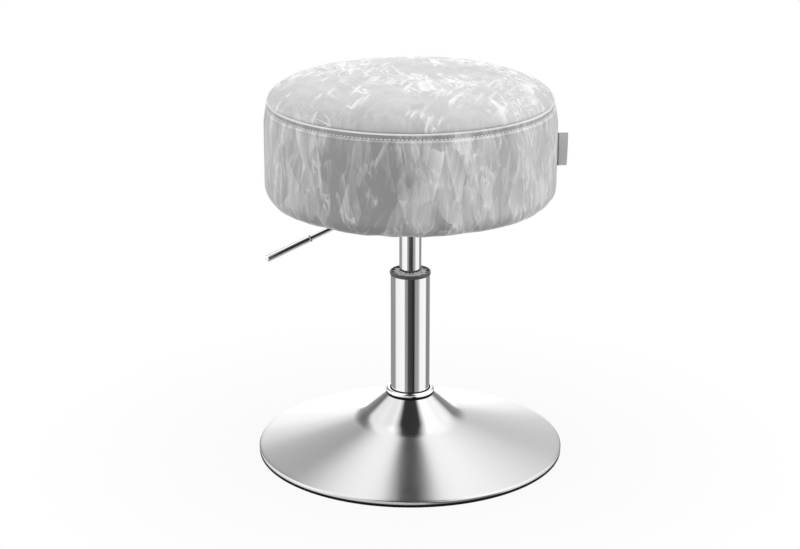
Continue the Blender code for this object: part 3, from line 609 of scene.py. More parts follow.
def cells(place, bends):
    """Cells whose edges are bent by noises of (scale, amount).

    Gives the way from the middle of the cell to the place, and three numbers of the cell from -0.5 to 0.5.
    """
    for scale, amount in bends:
        bend = vector_node("SUBTRACT", noise(place, scale, 1)[1], MIDDLE_GREY)
        place = vector_node("ADD", place, scaled(bend, amount))
    found = add("TexVoronoi", {"Vector": place, "Scale": 1.0}, voronoi_dimensions="2D").outputs
    away = vector_node("SUBTRACT", place, found["Position"])
    return away, split(vector_node("SUBTRACT", found["Color"], MIDDLE_GREY))


def shards(u, v, size, slant, share, seed, weak=0.35, dim=0.0, ragged=0.18):
    """A share of pointed patches drawn out along v, each from weak to 1 and fading to dim at one side."""
    bends = ((0.5, 0.35), (2.2, ragged), (7.0, 0.5 * ragged))
    away, (pick, side, rise) = cells(lying(u, v, size, slant, seed), bends)
    slope = measure("DOT_PRODUCT", away, plane(math_node("SIGN", side), rise))
    fade = remap(slope, -0.30, 0.35, dim, 1)
    bright = remap(pick, 0.5 - share, 0.5, weak, 1)
    picked = math_node("GREATER_THAN", pick, 0.5 - share)
    return times(bright, picked, fade)


def facets(u, v, size, slant, seed):
    """Flat patches drawn out along v, about -0.5 to 0.5. Each slopes its own way, so they meet sharply."""
    bends = ((0.5, 0.8), (1.6, 0.25), (6.0, 0.14))
    away, (level, side, rise) = cells(lying(u, v, size, slant, seed), bends)
    slope = measure("DOT_PRODUCT", away, plane(times(side, 2.0), rise))
    return total([(slope, 1), (level, 0.6)])


def streaks(u, v, size, slant, seed, bend=0.3):
    """Smooth values about 0.5, in streaks drawn out along v."""
    place = lying(u, v, size, slant, seed)
    inputs = {"Vector": place, "Scale": 1.0, "Detail": 1.0, "Distortion": bend}
    return add("TexNoise", inputs, noise_dimensions="2D").outputs[0]


def brushed(value, edge, fade):
    """1 just past an edge and less from there on, as pile lies over at one side and stands up again."""
    rise = remap(value, edge - BRUSHED_EDGE, edge + BRUSHED_EDGE, 0, 1)
    return times(rise, remap(value, edge, edge + fade, 1, 0))


def wisps(value, width, broken):
    """Thin lines where a value passes its middle, broken off where another value is low."""
    beside = math_node("ABSOLUTE", math_node("SUBTRACT", value, 0.5))
    return times(remap(beside, 0.3 * width, width, 1, 0), broken)


def velvet(name, pile_and_shade, painted_highlights, tones, fine, sheen):
    """Crushed velvet from its pile pattern with painted shade, its painted white highlights, its greys and
    its fine grain.
    """
    material, place = blank(name, Sheen_Weight=sheen, Sheen_Roughness=0.3)
    x, y, z = split(place)
    shade = pile_and_shade(x, y, z)
    # painted highlights: white glints mixed into the colour
    bright = painted_highlights(x, y, z)
    grain = math_node("SUBTRACT", noise(stretch(place, fine), rough=0.6)[0], 0.5)
    broad = noise(stretch(place, (26, 26, 9)))[0]
    tone = total([(shade, 1), (grain, 0.22), (broad, 0.4)], PILE_LEVEL)
    height = total([(shade, 1), (grain, 0.3), (bright, 0.6)])
    greys = ramp(tone, list(zip(PILE_TONES, tones)))
    return finished(
        material,
        Base_Color=mixed(bright, greys, PAINTED_HIGHLIGHT_WHITE),
        Roughness=remap(bright, 0, 1, 0.46, 0.30),
        Normal=bump(height, 0.0004, 0.4),
    )


def unrolled(x, y, z):
    """Distance round the seat, cut at the closing seam at +X, and height that goes on in under the seat."""
    turn = math_node("ARCTAN2", times(y, -1.0), times(x, -1.0))
    reach = measure("LENGTH", plane(x, y))
    return times(turn, SEAT_RADIUS), math_node("ADD", z, reach)


def below_seam(z, start, end, soft=SEAM_SOFT):
    """1 between two distances below the seam, with soft edges."""
    drop = math_node("SUBTRACT", SEAM_HEIGHT, z)
    rise = remap(drop, start - soft, start + soft, 0, 1)
    return times(rise, remap(drop, end - soft, end + soft, 1, 0))


def towards_painted_shade(x, y, start, end):
    """0 to 1 towards the side with painted shade, between two shares of the seat's radius."""
    towards = total([(x, math.sin(PAINTED_SHADE_AZIMUTH)), (y, -math.cos(PAINTED_SHADE_AZIMUTH))])
    return remap(towards, start * SEAT_RADIUS, end * SEAT_RADIUS, 0, 1)


def band_pile_and_shade(x, y, z):
    """Patches and streaks, crisper towards the front left, with painted shade towards the front left, on the
    strip down to the stitch line and along the lower edge, and a painted highlight just below the stitches.
    """
    u, v = unrolled(x, y, z)
    long = streaks(u, v, (0.012, 0.055), -0.12, 7.3)
    short = streaks(u, v, (0.006, 0.030), 0.22, 3.1)
    lines = streaks(u, v, (0.015, 0.060), 0.15, 5.2, 0.5)
    broken = remap(noise(plane(u, v), scale=26, detail=1)[0], 0.48, 0.60, 0, 1)
    patches = [
        (facets(u, v, (0.036, 0.095), -0.22, 0.0), 0.38),
        (facets(u, v, (0.017, 0.050), 0.20, 7.3), 0.38),
    ]
    crisp = remap(towards_painted_shade(x, y, 0.3, 0.8), 0, 1, 0.6, 1)
    layers = [
        # painted shade towards the front left
        (towards_painted_shade(x, y, 0.92, 0.99), -0.50),
        # painted shade along the lower edge
        (remap(z, HEM_BOTTOM, HEM_BOTTOM + HEM_SHADE_HEIGHT, -0.24, 0), 1),
        (times(total(patches), crisp), 1),
        (brushed(long, 0.54, 0.30), 0.20),
        (times(brushed(short, 0.56, 0.22), broken), 0.24),
        (wisps(lines, 0.020, broken), 0.34),
        # painted shade on the strip above the stitch line
        (below_seam(z, 0.0030, STITCH_DROP + 0.0006), -0.35),
        # painted highlight on the puff just below the stitches
        (below_seam(z, STITCH_DROP + 0.0012, STITCH_DROP + 0.0026), 0.25),
    ]
    return total(layers)


def band_painted_highlights(x, y, z):
    """Painted highlights: scattered bright streaks, and a pale line on the fold where the band is turned in
    at the seam.
    """
    u, v = unrolled(x, y, z)
    where = remap(noise(plane(u, v), scale=9)[0], 0.52, 0.66, 0, 0.6)
    scattered = times(shards(u, v, (0.006, 0.028), -0.55, 0.22, 5.9), where)
    # strength of the painted highlight on the fold, varying round the seat
    fold_highlight_fade = remap(noise(plane(u, 0.0), scale=6, detail=1)[0], 0.35, 0.6, 0.55, 1)
    # painted highlight on the fold at the seam
    fold = times(below_seam(z, 0.0005, 0.0022, FOLD_SOFT), fold_highlight_fade)
    return brightest(scattered, fold)


def crown_pile_and_shade(x, y, z):
    """Broad and middling streaks, with painted shade towards the back and towards the front left."""
    large = streaks(x, y, (0.035, 0.055), 0.4, 1.7, 1.0)
    middling = streaks(x, y, (0.016, 0.034), -0.5, 4.4, 1.0)
    layers = [
        # painted shade: darker towards the back
        (y, -1.4),
        # painted shade towards the front left
        (towards_painted_shade(x, y, 0.55, 0.95), -0.45),
        (remap(large, 0.42, 0.58, 0, 1), 0.16),
        (brushed(middling, 0.52, 0.25), 0.24),
    ]
    return total(layers)


def crown_painted_highlights(x, y, z):
    """Painted highlights: white flakes and veins in clusters, fewest at the front."""
    clusters = noise(plane(x, y), scale=11, detail=3)[0]
    # the painted highlights cluster towards the back and right, where the light falls
    spread = total([(clusters, 1), (x, 0.05), (y, 0.28)])
    where = remap(spread, 0.40, 0.48, 0, 0.85)
    thick = remap(spread, 0.50, 0.60, 0, 0.85)
    between = remap(spread, 0.44, 0.52, 0, 1)
    return brightest(
        times(shards(x, y, (0.010, 0.044), 0.15, 0.09, 2.2, 0.9, 0.5, 0.30), where),
        times(shards(x, y, (0.006, 0.024), -0.35, 0.14, 6.6, 0.8, 0.4, 0.30), where),
        times(shards(x, y, (0.003, 0.011), 0.25, 0.26, 5.1, 0.7, 0.3, 0.30), thick),
        wisps(streaks(x, y, (0.022, 0.048), 0.6, 3.3, 1.4), 0.022, between),
        wisps(streaks(x, y, (0.015, 0.036), -0.7, 9.2, 1.0), 0.026, thick),
    )


TAG_SHADOW_EDGE = SEAT_RADIUS + 0.0024  # up to here the tag gets a painted shadow where it comes out of the seam

# One material for each of the record's slots
LOOKS = {
    "satin_steel": satin_steel(),
    "chrome": chrome(),
    "plain_steel": metal("plain_steel", (0.42, 0.43, 0.44), 0.35, 0.5),
    "zinc": metal("zinc", (0.60, 0.61, 0.60), 0.25, 0.4),
    "brass": metal("brass", (0.62, 0.48, 0.22), 0.25, 0.4),
    "black_paint": moulded("black_paint", (0.02, 0.02, 0.021), 0.42, 0.0006, 0.00006),
    "black_rubber": moulded("black_rubber", (0.008, 0.008, 0.008), 0.8, 0.0008, 0.00008, 0.1),
    "dark_plastic": moulded("dark_plastic", (0.075, 0.075, 0.078), 0.38, 0.0005, 0.00004),
    "white_plastic": moulded("white_plastic", (0.75, 0.75, 0.72), 0.45, 0.0005, 0.00003),
    "velvet": velvet("velvet_band", band_pile_and_shade, band_painted_highlights, BAND_GREYS, BAND_GRAIN, 0.75),
    "tag_cloth": woven("tag_cloth", (0.60, 0.60, 0.61), 0.0009, 0.00012, TAG_SHADOW_EDGE),
    "black_cloth": felted("black_cloth", (0.02, 0.02, 0.022)),
    "plywood": plywood(),
    "foam": foam(),
}
CROWN_VELVET = velvet("velvet_crown", crown_pile_and_shade, crown_painted_highlights, CROWN_GREYS, CROWN_GRAIN, 0.3)
GREY_PLASTIC = moulded("grey_plastic", (0.58, 0.58, 0.59), 0.4, 0.0005, 0.00004)
THREAD = moulded("thread", (0.94, 0.94, 0.94), 0.6, 0.0003, 0.00005)


def dress_cad():
    """Give every CAD node the material of its slot."""
    for part in frame["record"]["subparts"]:
        mesh = frame["nodes"][part["node"]].data
        mesh.materials.clear()
        mesh.materials.append(LOOKS[part["material_slot"]])


# Base


def base_path():
    """Upper face of the base from the column down the neck and out to the rim. The brim flares a little."""
    corners = [
        (COLUMN_RADIUS + GAP, BASE_HEIGHT, 0), (NECK_RADIUS, BASE_HEIGHT, NECK_FILLET),
        (CREASE_RADIUS, CREASE_HEIGHT, CREASE_FILLET), (FLARE_RADIUS, FLARE_HEIGHT, FLARE_FILLET),
        (BASE_RADIUS, BRIM_EDGE_HEIGHT, RIM_FILLET), (BASE_RADIUS - RIM_TUCK, LIP_BOTTOM, 0),
    ]
    return rounded(corners)


def make_base():
    path = base_path()
    dish = turned(path + offset(path, BASE_SHEET)[::-1], BROAD_SIDES)
    piece("base_dish", dish, "satin_steel", "base", "base_shell")

    outer = radius("floor_ring")
    inner = outer - RUBBER_WIDTH
    lip = BASE_RADIUS - RIM_TUCK - BASE_SHEET - GAP
    upstand = lip - RUBBER_UPSTAND
    low, step, high = bottom("floor_ring"), LIP_BOTTOM - GAP, top("floor_ring")
    corners = [
        (upstand, step, 0), (upstand, high, RUBBER_EDGE),
        (lip, high, RUBBER_EDGE), (lip, step, 0),
        (outer, step, RUBBER_EDGE), (outer, low, RUBBER_EDGE),
        (inner, low, RUBBER_EDGE), (inner, step, 0),
    ]
    piece("rubber_ring", turned(rounded(corners), BROAD_SIDES), "black_rubber", "base", "floor_ring")


# Column


def make_column():
    low, high = bottom("column_tube"), top("column_tube")
    bore = COLUMN_RADIUS - COLUMN_WALL
    plate = low + COLUMN_PLATE
    outline = [
        (bore, high), (COLUMN_RADIUS, high),
        (COLUMN_RADIUS, TAPER_TOP), (TAPER_RADIUS, low),
        (PISTON_HOLE, low), (PISTON_HOLE, plate),
        (TAPER_RADIUS - COLUMN_WALL, plate), (bore, TAPER_TOP),
    ]
    piece("column_sleeve", turned(outline, TUBE_SIDES), "chrome", "base", "column_tube")

    low, high = bottom("trim_ring"), top("trim_ring")
    inner, outer = COLUMN_RADIUS + WELD_GAP, COLUMN_RADIUS + GASKET
    flange = low + GASKET_FLANGE
    outline = [(inner, high), (inner, low), (GASKET_REACH, low)]
    outline += [(GASKET_REACH, flange), (outer, flange), (outer, high)]
    piece("bead_gasket", turned(outline, TUBE_SIDES), "black_rubber", "base", "trim_ring")

    inner = outer + WELD_GAP
    low, high = flange + WELD_GAP, high - BEAD_DROP
    outline = []
    for step in range(BEAD_STEPS + 1):
        angle = math.pi * (0.5 - step / BEAD_STEPS)
        swell = (radius("trim_ring") - inner) * math.cos(angle)
        outline.append((inner + swell, (low + high) / 2 + (high - low) / 2 * math.sin(angle)))
    piece("neck_bead", turned(outline, TUBE_SIDES), "chrome", "base", "trim_ring")

    low, high = bottom("gas_cylinder"), top("gas_cylinder")
    inside, tapered = CYLINDER_RADIUS - CYLINDER_WALL, CYLINDER_RADIUS - CYLINDER_TAPER
    corners = [
        (inside, low, 0), (inside, high - CYLINDER_CAP, 0),
        (CYLINDER_MOUTH, high - CYLINDER_CAP, 0), (CYLINDER_MOUTH, high, 0),
        (tapered, high, CYLINDER_EDGE), (tapered, top("taper_hub"), 0),
        (CYLINDER_RADIUS, bottom("taper_hub"), 0), (CYLINDER_RADIUS, low, 0),
    ]
    piece("lift_tube", turned(rounded(corners), TUBE_SIDES), "chrome", "seat", "gas_cylinder")


def make_collar():
    """A dark cap with a rim, and in it a paler ring whose slots show the cap's floor."""
    inside = COLLAR_RADIUS - COLLAR_RIM
    seat = COLLAR_TOP - COLLAR_HEIGHT
    floor = seat + COLLAR_FLOOR
    bore = CYLINDER_RADIUS + COLLAR_PLAY
    plug = bottom("collar_cap")
    plug_radius = COLUMN_RADIUS - COLUMN_WALL - GAP
    corners = [
        (bore, plug, 0), (bore, floor, 0),
        (inside - COLLAR_DRAFT, floor, 0), (inside, COLLAR_TOP, COLLAR_EDGE),
        (COLLAR_RADIUS, COLLAR_TOP, COLLAR_ROUND), (COLLAR_RADIUS, seat, COLLAR_EDGE),
        (plug_radius, seat, 0), (plug_radius, plug, 0),
    ]
    piece("collar_rim", turned(rounded(corners), TUBE_SIDES), "dark_plastic", "base", "collar_cap")

    edge = inside - COLLAR_PLAY
    low, high = floor + WELD_GAP, COLLAR_TOP - COLLAR_RECESS
    corners = [(bore, low, 0), (bore, high, INSERT_EDGE), (edge, high, INSERT_EDGE), (edge, low, 0)]
    insert = turned(rounded(corners), COLLAR_SLOTS * SLOT_FACETS)
    for point in insert.vertices:
        reach = math.hypot(point.co.x, point.co.y)
        turn = math.atan2(point.co.y, point.co.x) * COLLAR_SLOTS / math.tau
        if reach > edge - 2 * INSERT_EDGE and turn % 1 < SLOT_SHARE:
            point.co.xy *= (reach - SLOT_DEPTH) / reach
    piece("collar_insert", insert, "dark_plastic", "base", "collar_cap", look=GREY_PLASTIC)


# Seat


def band_path():
    """Outer face of the band from the seam down, round the lower edge and in under the board."""
    path = []
    for step in range(BULGE_STEPS):
        share = (step / BULGE_STEPS) ** BULGE_POWER
        swell = (SEAT_RADIUS - SEAM_RADIUS) * math.sin(math.pi / 2 * share)
        path.append((SEAM_RADIUS + swell, SEAM_HEIGHT - BULGE_DEPTH * share))
    corners = [
        (SEAT_RADIUS, SEAM_HEIGHT - BULGE_DEPTH, 0),
        (SEAT_RADIUS, HEM_BOTTOM, EDGE_ROUND),
        (HEM_RADIUS, HEM_BOTTOM, 0),
    ]
    skirt = rounded(corners)
    for near, far in zip(skirt, skirt[1:]):
        count = max(1, round(math.dist(near, far) / BAND_STEP))
        path += [tuple(Vector(near).lerp(Vector(far), i / count)) for i in range(count)]
    return path + [skirt[-1]]


def crown_path():
    """Outer face of the top panel, from the middle of the seat to the seam."""
    path = []
    for step in range(CROWN_STEPS + 1):
        share = math.sin(math.pi / 2 * step / CROWN_STEPS)
        rise = CROWN_HEIGHT * math.sqrt(1 - share**CROWN_POWER)
        path.append((SEAM_RADIUS * share, SEAM_HEIGHT + rise))
    return path


def lengths(path):
    """Distance along a path to each of its points."""
    steps = [math.dist(near, far) for near, far in zip(path, path[1:])]
    return np.concatenate([[0], np.cumsum(steps)])


def outward(path):
    """Unit normals of a path, to the left of its direction."""
    run = np.gradient(np.array(path), axis=0)
    run /= np.linalg.norm(run, axis=1)[:, None]
    return np.stack([-run[:, 1], run[:, 0]], axis=1)


def cover(path, sides, shape):
    """Rows of a cover's outer face, then of its lining, from the end of the path back to its start.

    The outer face is pushed out by shape(distance along the path, radius, azimuth).
    """
    turn = azimuths(sides)
    points, out = np.array(path), outward(path)
    push = shape(lengths(path)[:, None], points[:, :1], turn[None, :])
    reach = np.where(points[:, :1] > 0, points[:, :1] + out[:, :1] * push, 0)
    face = ring(reach, points[:, 1:] + out[:, 1:] * push, turn)
    inner = points - out * COVER_SHEET
    inner[points[:, 0] == 0, 0] = 0
    kept = sorted({*range(0, len(path), LINING_STEP), len(path) - 1}, reverse=True)
    return [*face, *(ring(r, z, turn) for r, z in inner[kept])]


def bell(value, middle, width):
    return np.exp(-(((value - middle) / width) ** 2))


# Height, distance below the seam and width of the band's welt, of its tuck into the seam and of its puff
BAND_FOLDS = ((0.0013, 0.0017, 0.0013), (-0.0022, 0, 0.0006), (0.0006, STITCH_DROP + 0.0036, 0.0024))
GROOVE_DEPTH = 0.000825
PRICK_DEPTH = 0.00044
GROOVE_WIDTH = 0.0016
BAND_SEED = 11
WAVES_ROUND = range(3, 40)
WAVE_HEIGHT = 0.00035
WAVE_DRIFT = 18
WAVE_FADE = 0.016
CROWN_SEED = 12
CROWN_WAVES = 24
CROWN_WAVE_LENGTHS = (0.03, 0.09)
CROWN_WAVE_HEIGHT = 0.00012
CROWN_CALM = 0.02
SEAM_DIP = 0.0016
SEAM_DIP_WIDTH = 0.0008


def band_shape(along, reach, turn):
    """Folded edge at the seam, the groove under the stitches, and slight unevenness of the foam below."""
    folds = sum(rise * bell(along, drop, width) for rise, drop, width in BAND_FOLDS)
    prick = 0.5 + 0.5 * np.cos(turn * STITCHES)
    groove = (GROOVE_DEPTH + PRICK_DEPTH * prick) * bell(along, STITCH_DROP, GROOVE_WIDTH)
    rng = np.random.default_rng(BAND_SEED)
    waves = 0
    for waves_round in WAVES_ROUND:
        size = WAVE_HEIGHT / math.sqrt(waves_round) * rng.normal()
        drift = rng.normal() * WAVE_DRIFT
        waves = waves + size * np.cos(waves_round * turn + drift * along + rng.uniform(0, math.tau))
    return folds - groove + waves * (1 - bell(along, 0, WAVE_FADE))


def crown_shape(along, reach, turn):
    """The top panel dips into the seam, and its crown is a little uneven."""
    end = along.max()
    x, y = reach * np.cos(turn), reach * np.sin(turn)
    rng = np.random.default_rng(CROWN_SEED)
    uneven = 0
    for _ in range(CROWN_WAVES):
        rate = math.tau / rng.uniform(*CROWN_WAVE_LENGTHS)
        heading = rng.uniform(0, math.tau)
        phase = rng.uniform(0, math.tau)
        across = x * math.cos(heading) + y * math.sin(heading)
        uneven = uneven + CROWN_WAVE_HEIGHT * np.cos(rate * across + phase)
    return uneven * (1 - bell(along, end, CROWN_CALM)) - SEAM_DIP * bell(along, end, SEAM_DIP_WIDTH)


THREAD_SIDES = 8
STITCH_RINGS = ((-1, 0.35), (-0.8, 0.8), (-0.35, 1), (0.35, 1), (0.8, 0.8), (1, 0.35))  # place, thickness
STITCH_RISE = 0.9  # of the thread's radius, at the middle of a stitch
STITCH_DIVE = 1.2  # down from there to its ends


def make_stitches(path):
    """A row of top stitches just below the seam."""
    along, points = lengths(path), np.array(path)
    reach = np.interp(STITCH_DROP, along, points[:, 0]) - STITCH_SINK
    height = np.interp(STITCH_DROP, along, points[:, 1])
    shape = bmesh.new()
    for number in range(STITCHES):
        middle = math.tau * (number + 0.5) / STITCHES
        rows = []
        for share, size in STITCH_RINGS:
            turn = middle + share * STITCH_LENGTH / 2 / reach
            arch = reach + THREAD_RADIUS * (STITCH_RISE - STITCH_DIVE * share * share)
            row = []
            for angle in azimuths(THREAD_SIDES):
                r = arch + THREAD_RADIUS * size * math.cos(angle)
                z = height + THREAD_RADIUS * size * math.sin(angle)
                row.append((r * math.cos(turn), r * math.sin(turn), z))
            rows.append(row)
        add_grid(shape, rows, "caps")
    piece("seam_stitches", closed_mesh(shape), "velvet", "seat", look=THREAD)


def make_seat():
    path = band_path()
    rows = cover(path, 3 * STITCHES, band_shape)
    band = piece("seat_band", grid_mesh(rows), "velvet", "seat", "cover_band")
    make_stitches(path)

    rows = cover(crown_path(), CROWN_SIDES, crown_shape)
    crown = piece("seat_crown", grid_mesh(rows, "poles"), "velvet", "seat", "cover_top", look=CROWN_VELVET)

    for name, node in (("foam_drum", "foam_block"), ("foam_crown", "foam_top")):
        pad = piece(name, frame["nodes"][node].data.copy(), "foam", "seat", node)


# Lever
JOINTS = {joint["name"]: joint for joint in frame["record"]["behaviour"]["joints"]}
ROD_RADIUS = 0.0035
ROD_OVERRUN = 0.004
ROD_BEND = 0.0462
ROD_BEND_RADIUS = 0.012
ROD_SLOPE = math.radians(22)
LEVER_TIP = 0.1861
BARREL_RADIUS = 0.0055
BARREL_LENGTH = 0.012
PIN_BORE = 0.0023
GRIP_RADIUS = 0.00425
GRIP_START = 0.1301
GRIP_END_WALL = 0.004
GRIP_END_ROUND = 0.003
GRIP_END_STEPS = 12
GRIP_CHAMFER = 0.0003
# ring of dark plastic at the grip's mouth: painted shade, standing in for the dark line of shade there
SHADE_RING_LENGTH = 0.0013
SHADE_RING_PROUD = 0.0002


def make_lever():
    pivot = Vector(JOINTS["lever_lift"]["pos_m"])
    arm = math.hypot(pivot.x, pivot.y)
    azimuth = math.atan2(pivot.y, pivot.x)
    place = Matrix.Translation(pivot) @ Matrix.Rotation(azimuth, 4, "Z")
    across = Matrix.Rotation(math.pi / 2, 4, "X")

    bend = ROD_BEND - arm
    slope = math.tan(ROD_SLOPE)
    end = LEVER_TIP - GRIP_END_WALL * math.cos(ROD_SLOPE) - arm
    path = rounded([(-arm - ROD_OVERRUN, 0, 0), (bend, 0, ROD_BEND_RADIUS), (end, -(end - bend) * slope, 0)])
    rod = swept(path, ROD_RADIUS, SMALL_SIDES)
    barrel = bar(BARREL_RADIUS, -BARREL_LENGTH / 2, BARREL_LENGTH / 2, SMALL_SIDES)
    drill = bar(PIN_BORE, -BARREL_LENGTH, BARREL_LENGTH, SMALL_SIDES)
    for tool, operation in ((barrel, "UNION"), (drill, "DIFFERENCE")):
        tool.transform(across)
        rod = combined(rod, tool, operation)
    piece("lever_rod", rod, "chrome", "lever", "release_lever", place=place)

    start = GRIP_START - arm
    length = (LEVER_TIP - GRIP_START) / math.cos(ROD_SLOPE)
    bore = ROD_RADIUS + GAP
    floor = length - GRIP_END_WALL + GAP
    outline = []
    for step in range(GRIP_END_STEPS + 1):
        angle = math.pi / 2 * step / GRIP_END_STEPS
        rise = length - GRIP_END_ROUND * (1 - math.cos(angle))
        outline.append((GRIP_RADIUS * math.sin(angle), rise))
    outline += [(GRIP_RADIUS, GRIP_CHAMFER), (GRIP_RADIUS - GRIP_CHAMFER, 0)]
    outline += [(bore, 0), (bore, floor), (0, floor)]
    lie = Matrix.Translation((start, 0, -(start - bend) * slope))
    place = place @ lie @ Matrix.Rotation(math.pi / 2 + ROD_SLOPE, 4, "Y")
    piece("grip_sleeve", turned(outline, SMALL_SIDES), "chrome", "lever", "lever_grip", place=place)

    # painted shade: a dark plastic ring at the grip's mouth stands in for the dark line of shade there
    lip = GRIP_RADIUS + SHADE_RING_PROUD
    outline = [(bore, -SHADE_RING_LENGTH), (lip, -SHADE_RING_LENGTH), (lip, -WELD_GAP), (bore, -WELD_GAP)]
    piece("grip_shade_ring", turned(outline, SMALL_SIDES), "dark_plastic", "lever", "lever_grip", place=place)


# Tag
TAG_SHEET = 0.00045
TAG_TUCK = 0.0012
TAG_REACH = 1.12
TAG_STEPS = 40
TAG_FOLD_STEPS = 12
TAG_CORNER = 0.0005
TAG_CORNER_POWER = 20
TAG_LEAN = 0.0009
TAG_CURL = 0.0011
TAG_RIPPLE = 0.0003
TAG_RIPPLE_RATE = 9


def make_tag():
    """A woven label folded in two, sewn into the band's closing seam and left blank."""
    low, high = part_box("side_tag")
    size = high - low
    fold = size.y / 2
    inside = fold - TAG_SHEET
    bend = high.x - fold
    sewn = low.x - TAG_TUCK
    sweep = [math.pi * (step / TAG_FOLD_STEPS - 0.5) for step in range(TAG_FOLD_STEPS + 1)]
    outline = [(sewn, -fold)]
    outline += [(bend + fold * math.cos(angle), fold * math.sin(angle)) for angle in sweep]
    outline += [(sewn, fold), (sewn, inside)]
    outline += [(bend + inside * math.cos(angle), inside * math.sin(angle)) for angle in reversed(sweep)]
    outline += [(sewn, -inside)]
    rows = []
    for step in range(TAG_STEPS + 1):
        share = step / TAG_STEPS
        off_middle = 2 * share - 1
        edge = 1 - (TAG_CORNER * off_middle**TAG_CORNER_POWER + TAG_LEAN * (1 - share)) / size.x
        curl = TAG_CURL * off_middle**2 + TAG_RIPPLE * math.sin(TAG_RIPPLE_RATE * share)
        row = []
        for x, y in outline:
            reach = max(0, x - low.x)
            out = low.x + reach * edge * TAG_REACH if x > low.x else x
            row.append((out, y + curl * reach / size.x, low.z + size.z * share))
        rows.append(row)
    piece("blank_tag", grid_mesh(rows, ends="caps"), "tag_cloth", "seat", "side_tag")


# Underside
DUST_SHEET = 0.0008
DUST_STEP = 0.003
DUST_ROWS = 60
PUCKER = 0.0005
PUCKER_INSET = 0.006
PUCKER_WIDTH = 0.009
SLACK = 0.0006
SLACK_RADIUS = 0.105
SLACK_WIDTH = 0.018
SLACK_WAVES = 3
SLACK_TWIST = 40
BOLTS = 4
BOLT_CIRCLE = 0.068
BOLT_HOLE = 0.0033
STAPLES = 38
STAPLE_SEED = 5
STAPLE_CIRCLE = 0.1345
STAPLE_LENGTH = 0.010
STAPLE_WIRE = 0.0007
STAPLE_SINK = 0.2 * STAPLE_WIRE
STAPLE_EDGE = 0.2 * STAPLE_WIRE
STAPLE_SPREAD = 0.12  # of the distance between two staples
STAPLE_STRAY = 0.0008
STAPLE_SKEW = 0.25


def polar(reach, angle, height):
    """A shift to a place round the axis."""
    return Matrix.Translation((reach * math.cos(angle), reach * math.sin(angle), height))


def make_underside():
    """Black dust cover, sagging a little between the staples that hold its edge over the hem."""
    low, high = bottom("dust_cover"), top("dust_cover")
    reaches = np.linspace(0, radius("dust_cover"), DUST_ROWS + 1)
    turn = azimuths(3 * STAPLES)
    rows = []
    for face, level in ((reaches, low + DUST_SHEET), (reaches[::-1], low)):
        for r in face:
            step_up = (high - low - DUST_SHEET) * np.clip((HEM_RADIUS - r) / DUST_STEP, 0, 1)
            pucker = PUCKER * np.cos(STAPLES * turn) * bell(r, STAPLE_CIRCLE - PUCKER_INSET, PUCKER_WIDTH)
            slack = SLACK * np.cos(SLACK_WAVES * turn + SLACK_TWIST * r) * bell(r, SLACK_RADIUS, SLACK_WIDTH)
            rows.append(ring(r, level + step_up + pucker + slack, turn))
    cloth = grid_mesh(rows)
    for number in range(BOLTS):
        hole = bar(BOLT_HOLE, low - DRILL_OVERRUN, high + DRILL_OVERRUN, HOLE_SIDES)
        hole.transform(polar(BOLT_CIRCLE, math.tau * (number + 0.5) / BOLTS, 0))
        cloth = combined(cloth, hole, "DIFFERENCE")
    piece("dust_cloth", cloth, "black_cloth", "seat", "dust_cover")

    shape = bmesh.new()
    rng = np.random.default_rng(STAPLE_SEED)
    size = Matrix.Diagonal((STAPLE_WIRE, STAPLE_LENGTH, STAPLE_WIRE, 1))
    for number in range(STAPLES):
        angle = math.tau * (number + 0.5 + STAPLE_SPREAD * rng.normal()) / STAPLES
        spot = polar(STAPLE_CIRCLE + STAPLE_STRAY * rng.normal(), angle, low - STAPLE_SINK)
        skewed = Matrix.Rotation(angle + STAPLE_SKEW * rng.normal(), 4, "Z")
        bmesh.ops.create_cube(shape, size=1, matrix=spot @ skewed @ size)
    bmesh.ops.bevel(shape, geom=shape.edges[:], offset=STAPLE_EDGE, segments=2, affect="EDGES")
    piece("dust_staples", closed_mesh(shape), "zinc", "seat")


# Stage
REFLECTED = {"base_dish", "rubber_ring", "bead_gasket", "neck_bead"}
REFLECTED |= {"collar_rim", "collar_insert", "blank_tag"}
FLOOR_RADIUS = 9
FLOOR_SIDES = 64
FLOOR_GREY = (0.45, 0.45, 0.45, 1)
WHITE = (1, 1, 1, 1)
SHADOW_WHITE = 0.93  # share of white next to the stool
WHITE_FROM = 0.20
WHITE_TO = 0.50


def clear_reflections():
    """Keep what stands over the base out of its reflections, as a card over it does in a studio."""
    for made in bpy.data.objects:
        made.visible_glossy = made.name in REFLECTED


def make_floor():
    """A pale floor that keeps the stool's shadow and turns white away from it."""
    shape = bmesh.new()
    bmesh.ops.create_circle(shape, cap_ends=True, segments=FLOOR_SIDES, radius=FLOOR_RADIUS)
    mesh = bpy.data.meshes.new("floor")
    shape.to_mesh(mesh)
    shape.free()
    floor = placed("floor", mesh)
    floor.location.z = bottom("floor_ring") - GAP
    floor.visible_glossy = False

    material = bpy.data.materials.new("floor")
    material.use_nodes = True
    tree = material.node_tree
    tree.nodes.clear()
    matt = add("BsdfDiffuse", {"Color": FLOOR_GREY}, tree).outputs[0]
    white = add("Emission", {"Color": WHITE, "Strength": 1}, tree).outputs[0]
    reach = measure("LENGTH", object_place(tree))
    share = remap(reach, WHITE_FROM, WHITE_TO, SHADOW_WHITE, 1)
    seen = add("LightPath", {}, tree).outputs["Is Camera Ray"]
    both = add("MixShader", {0: times(share, seen), 1: matt, 2: white}).outputs[0]
    add("OutputMaterial", {"Surface": both})
    mesh.materials.append(material)


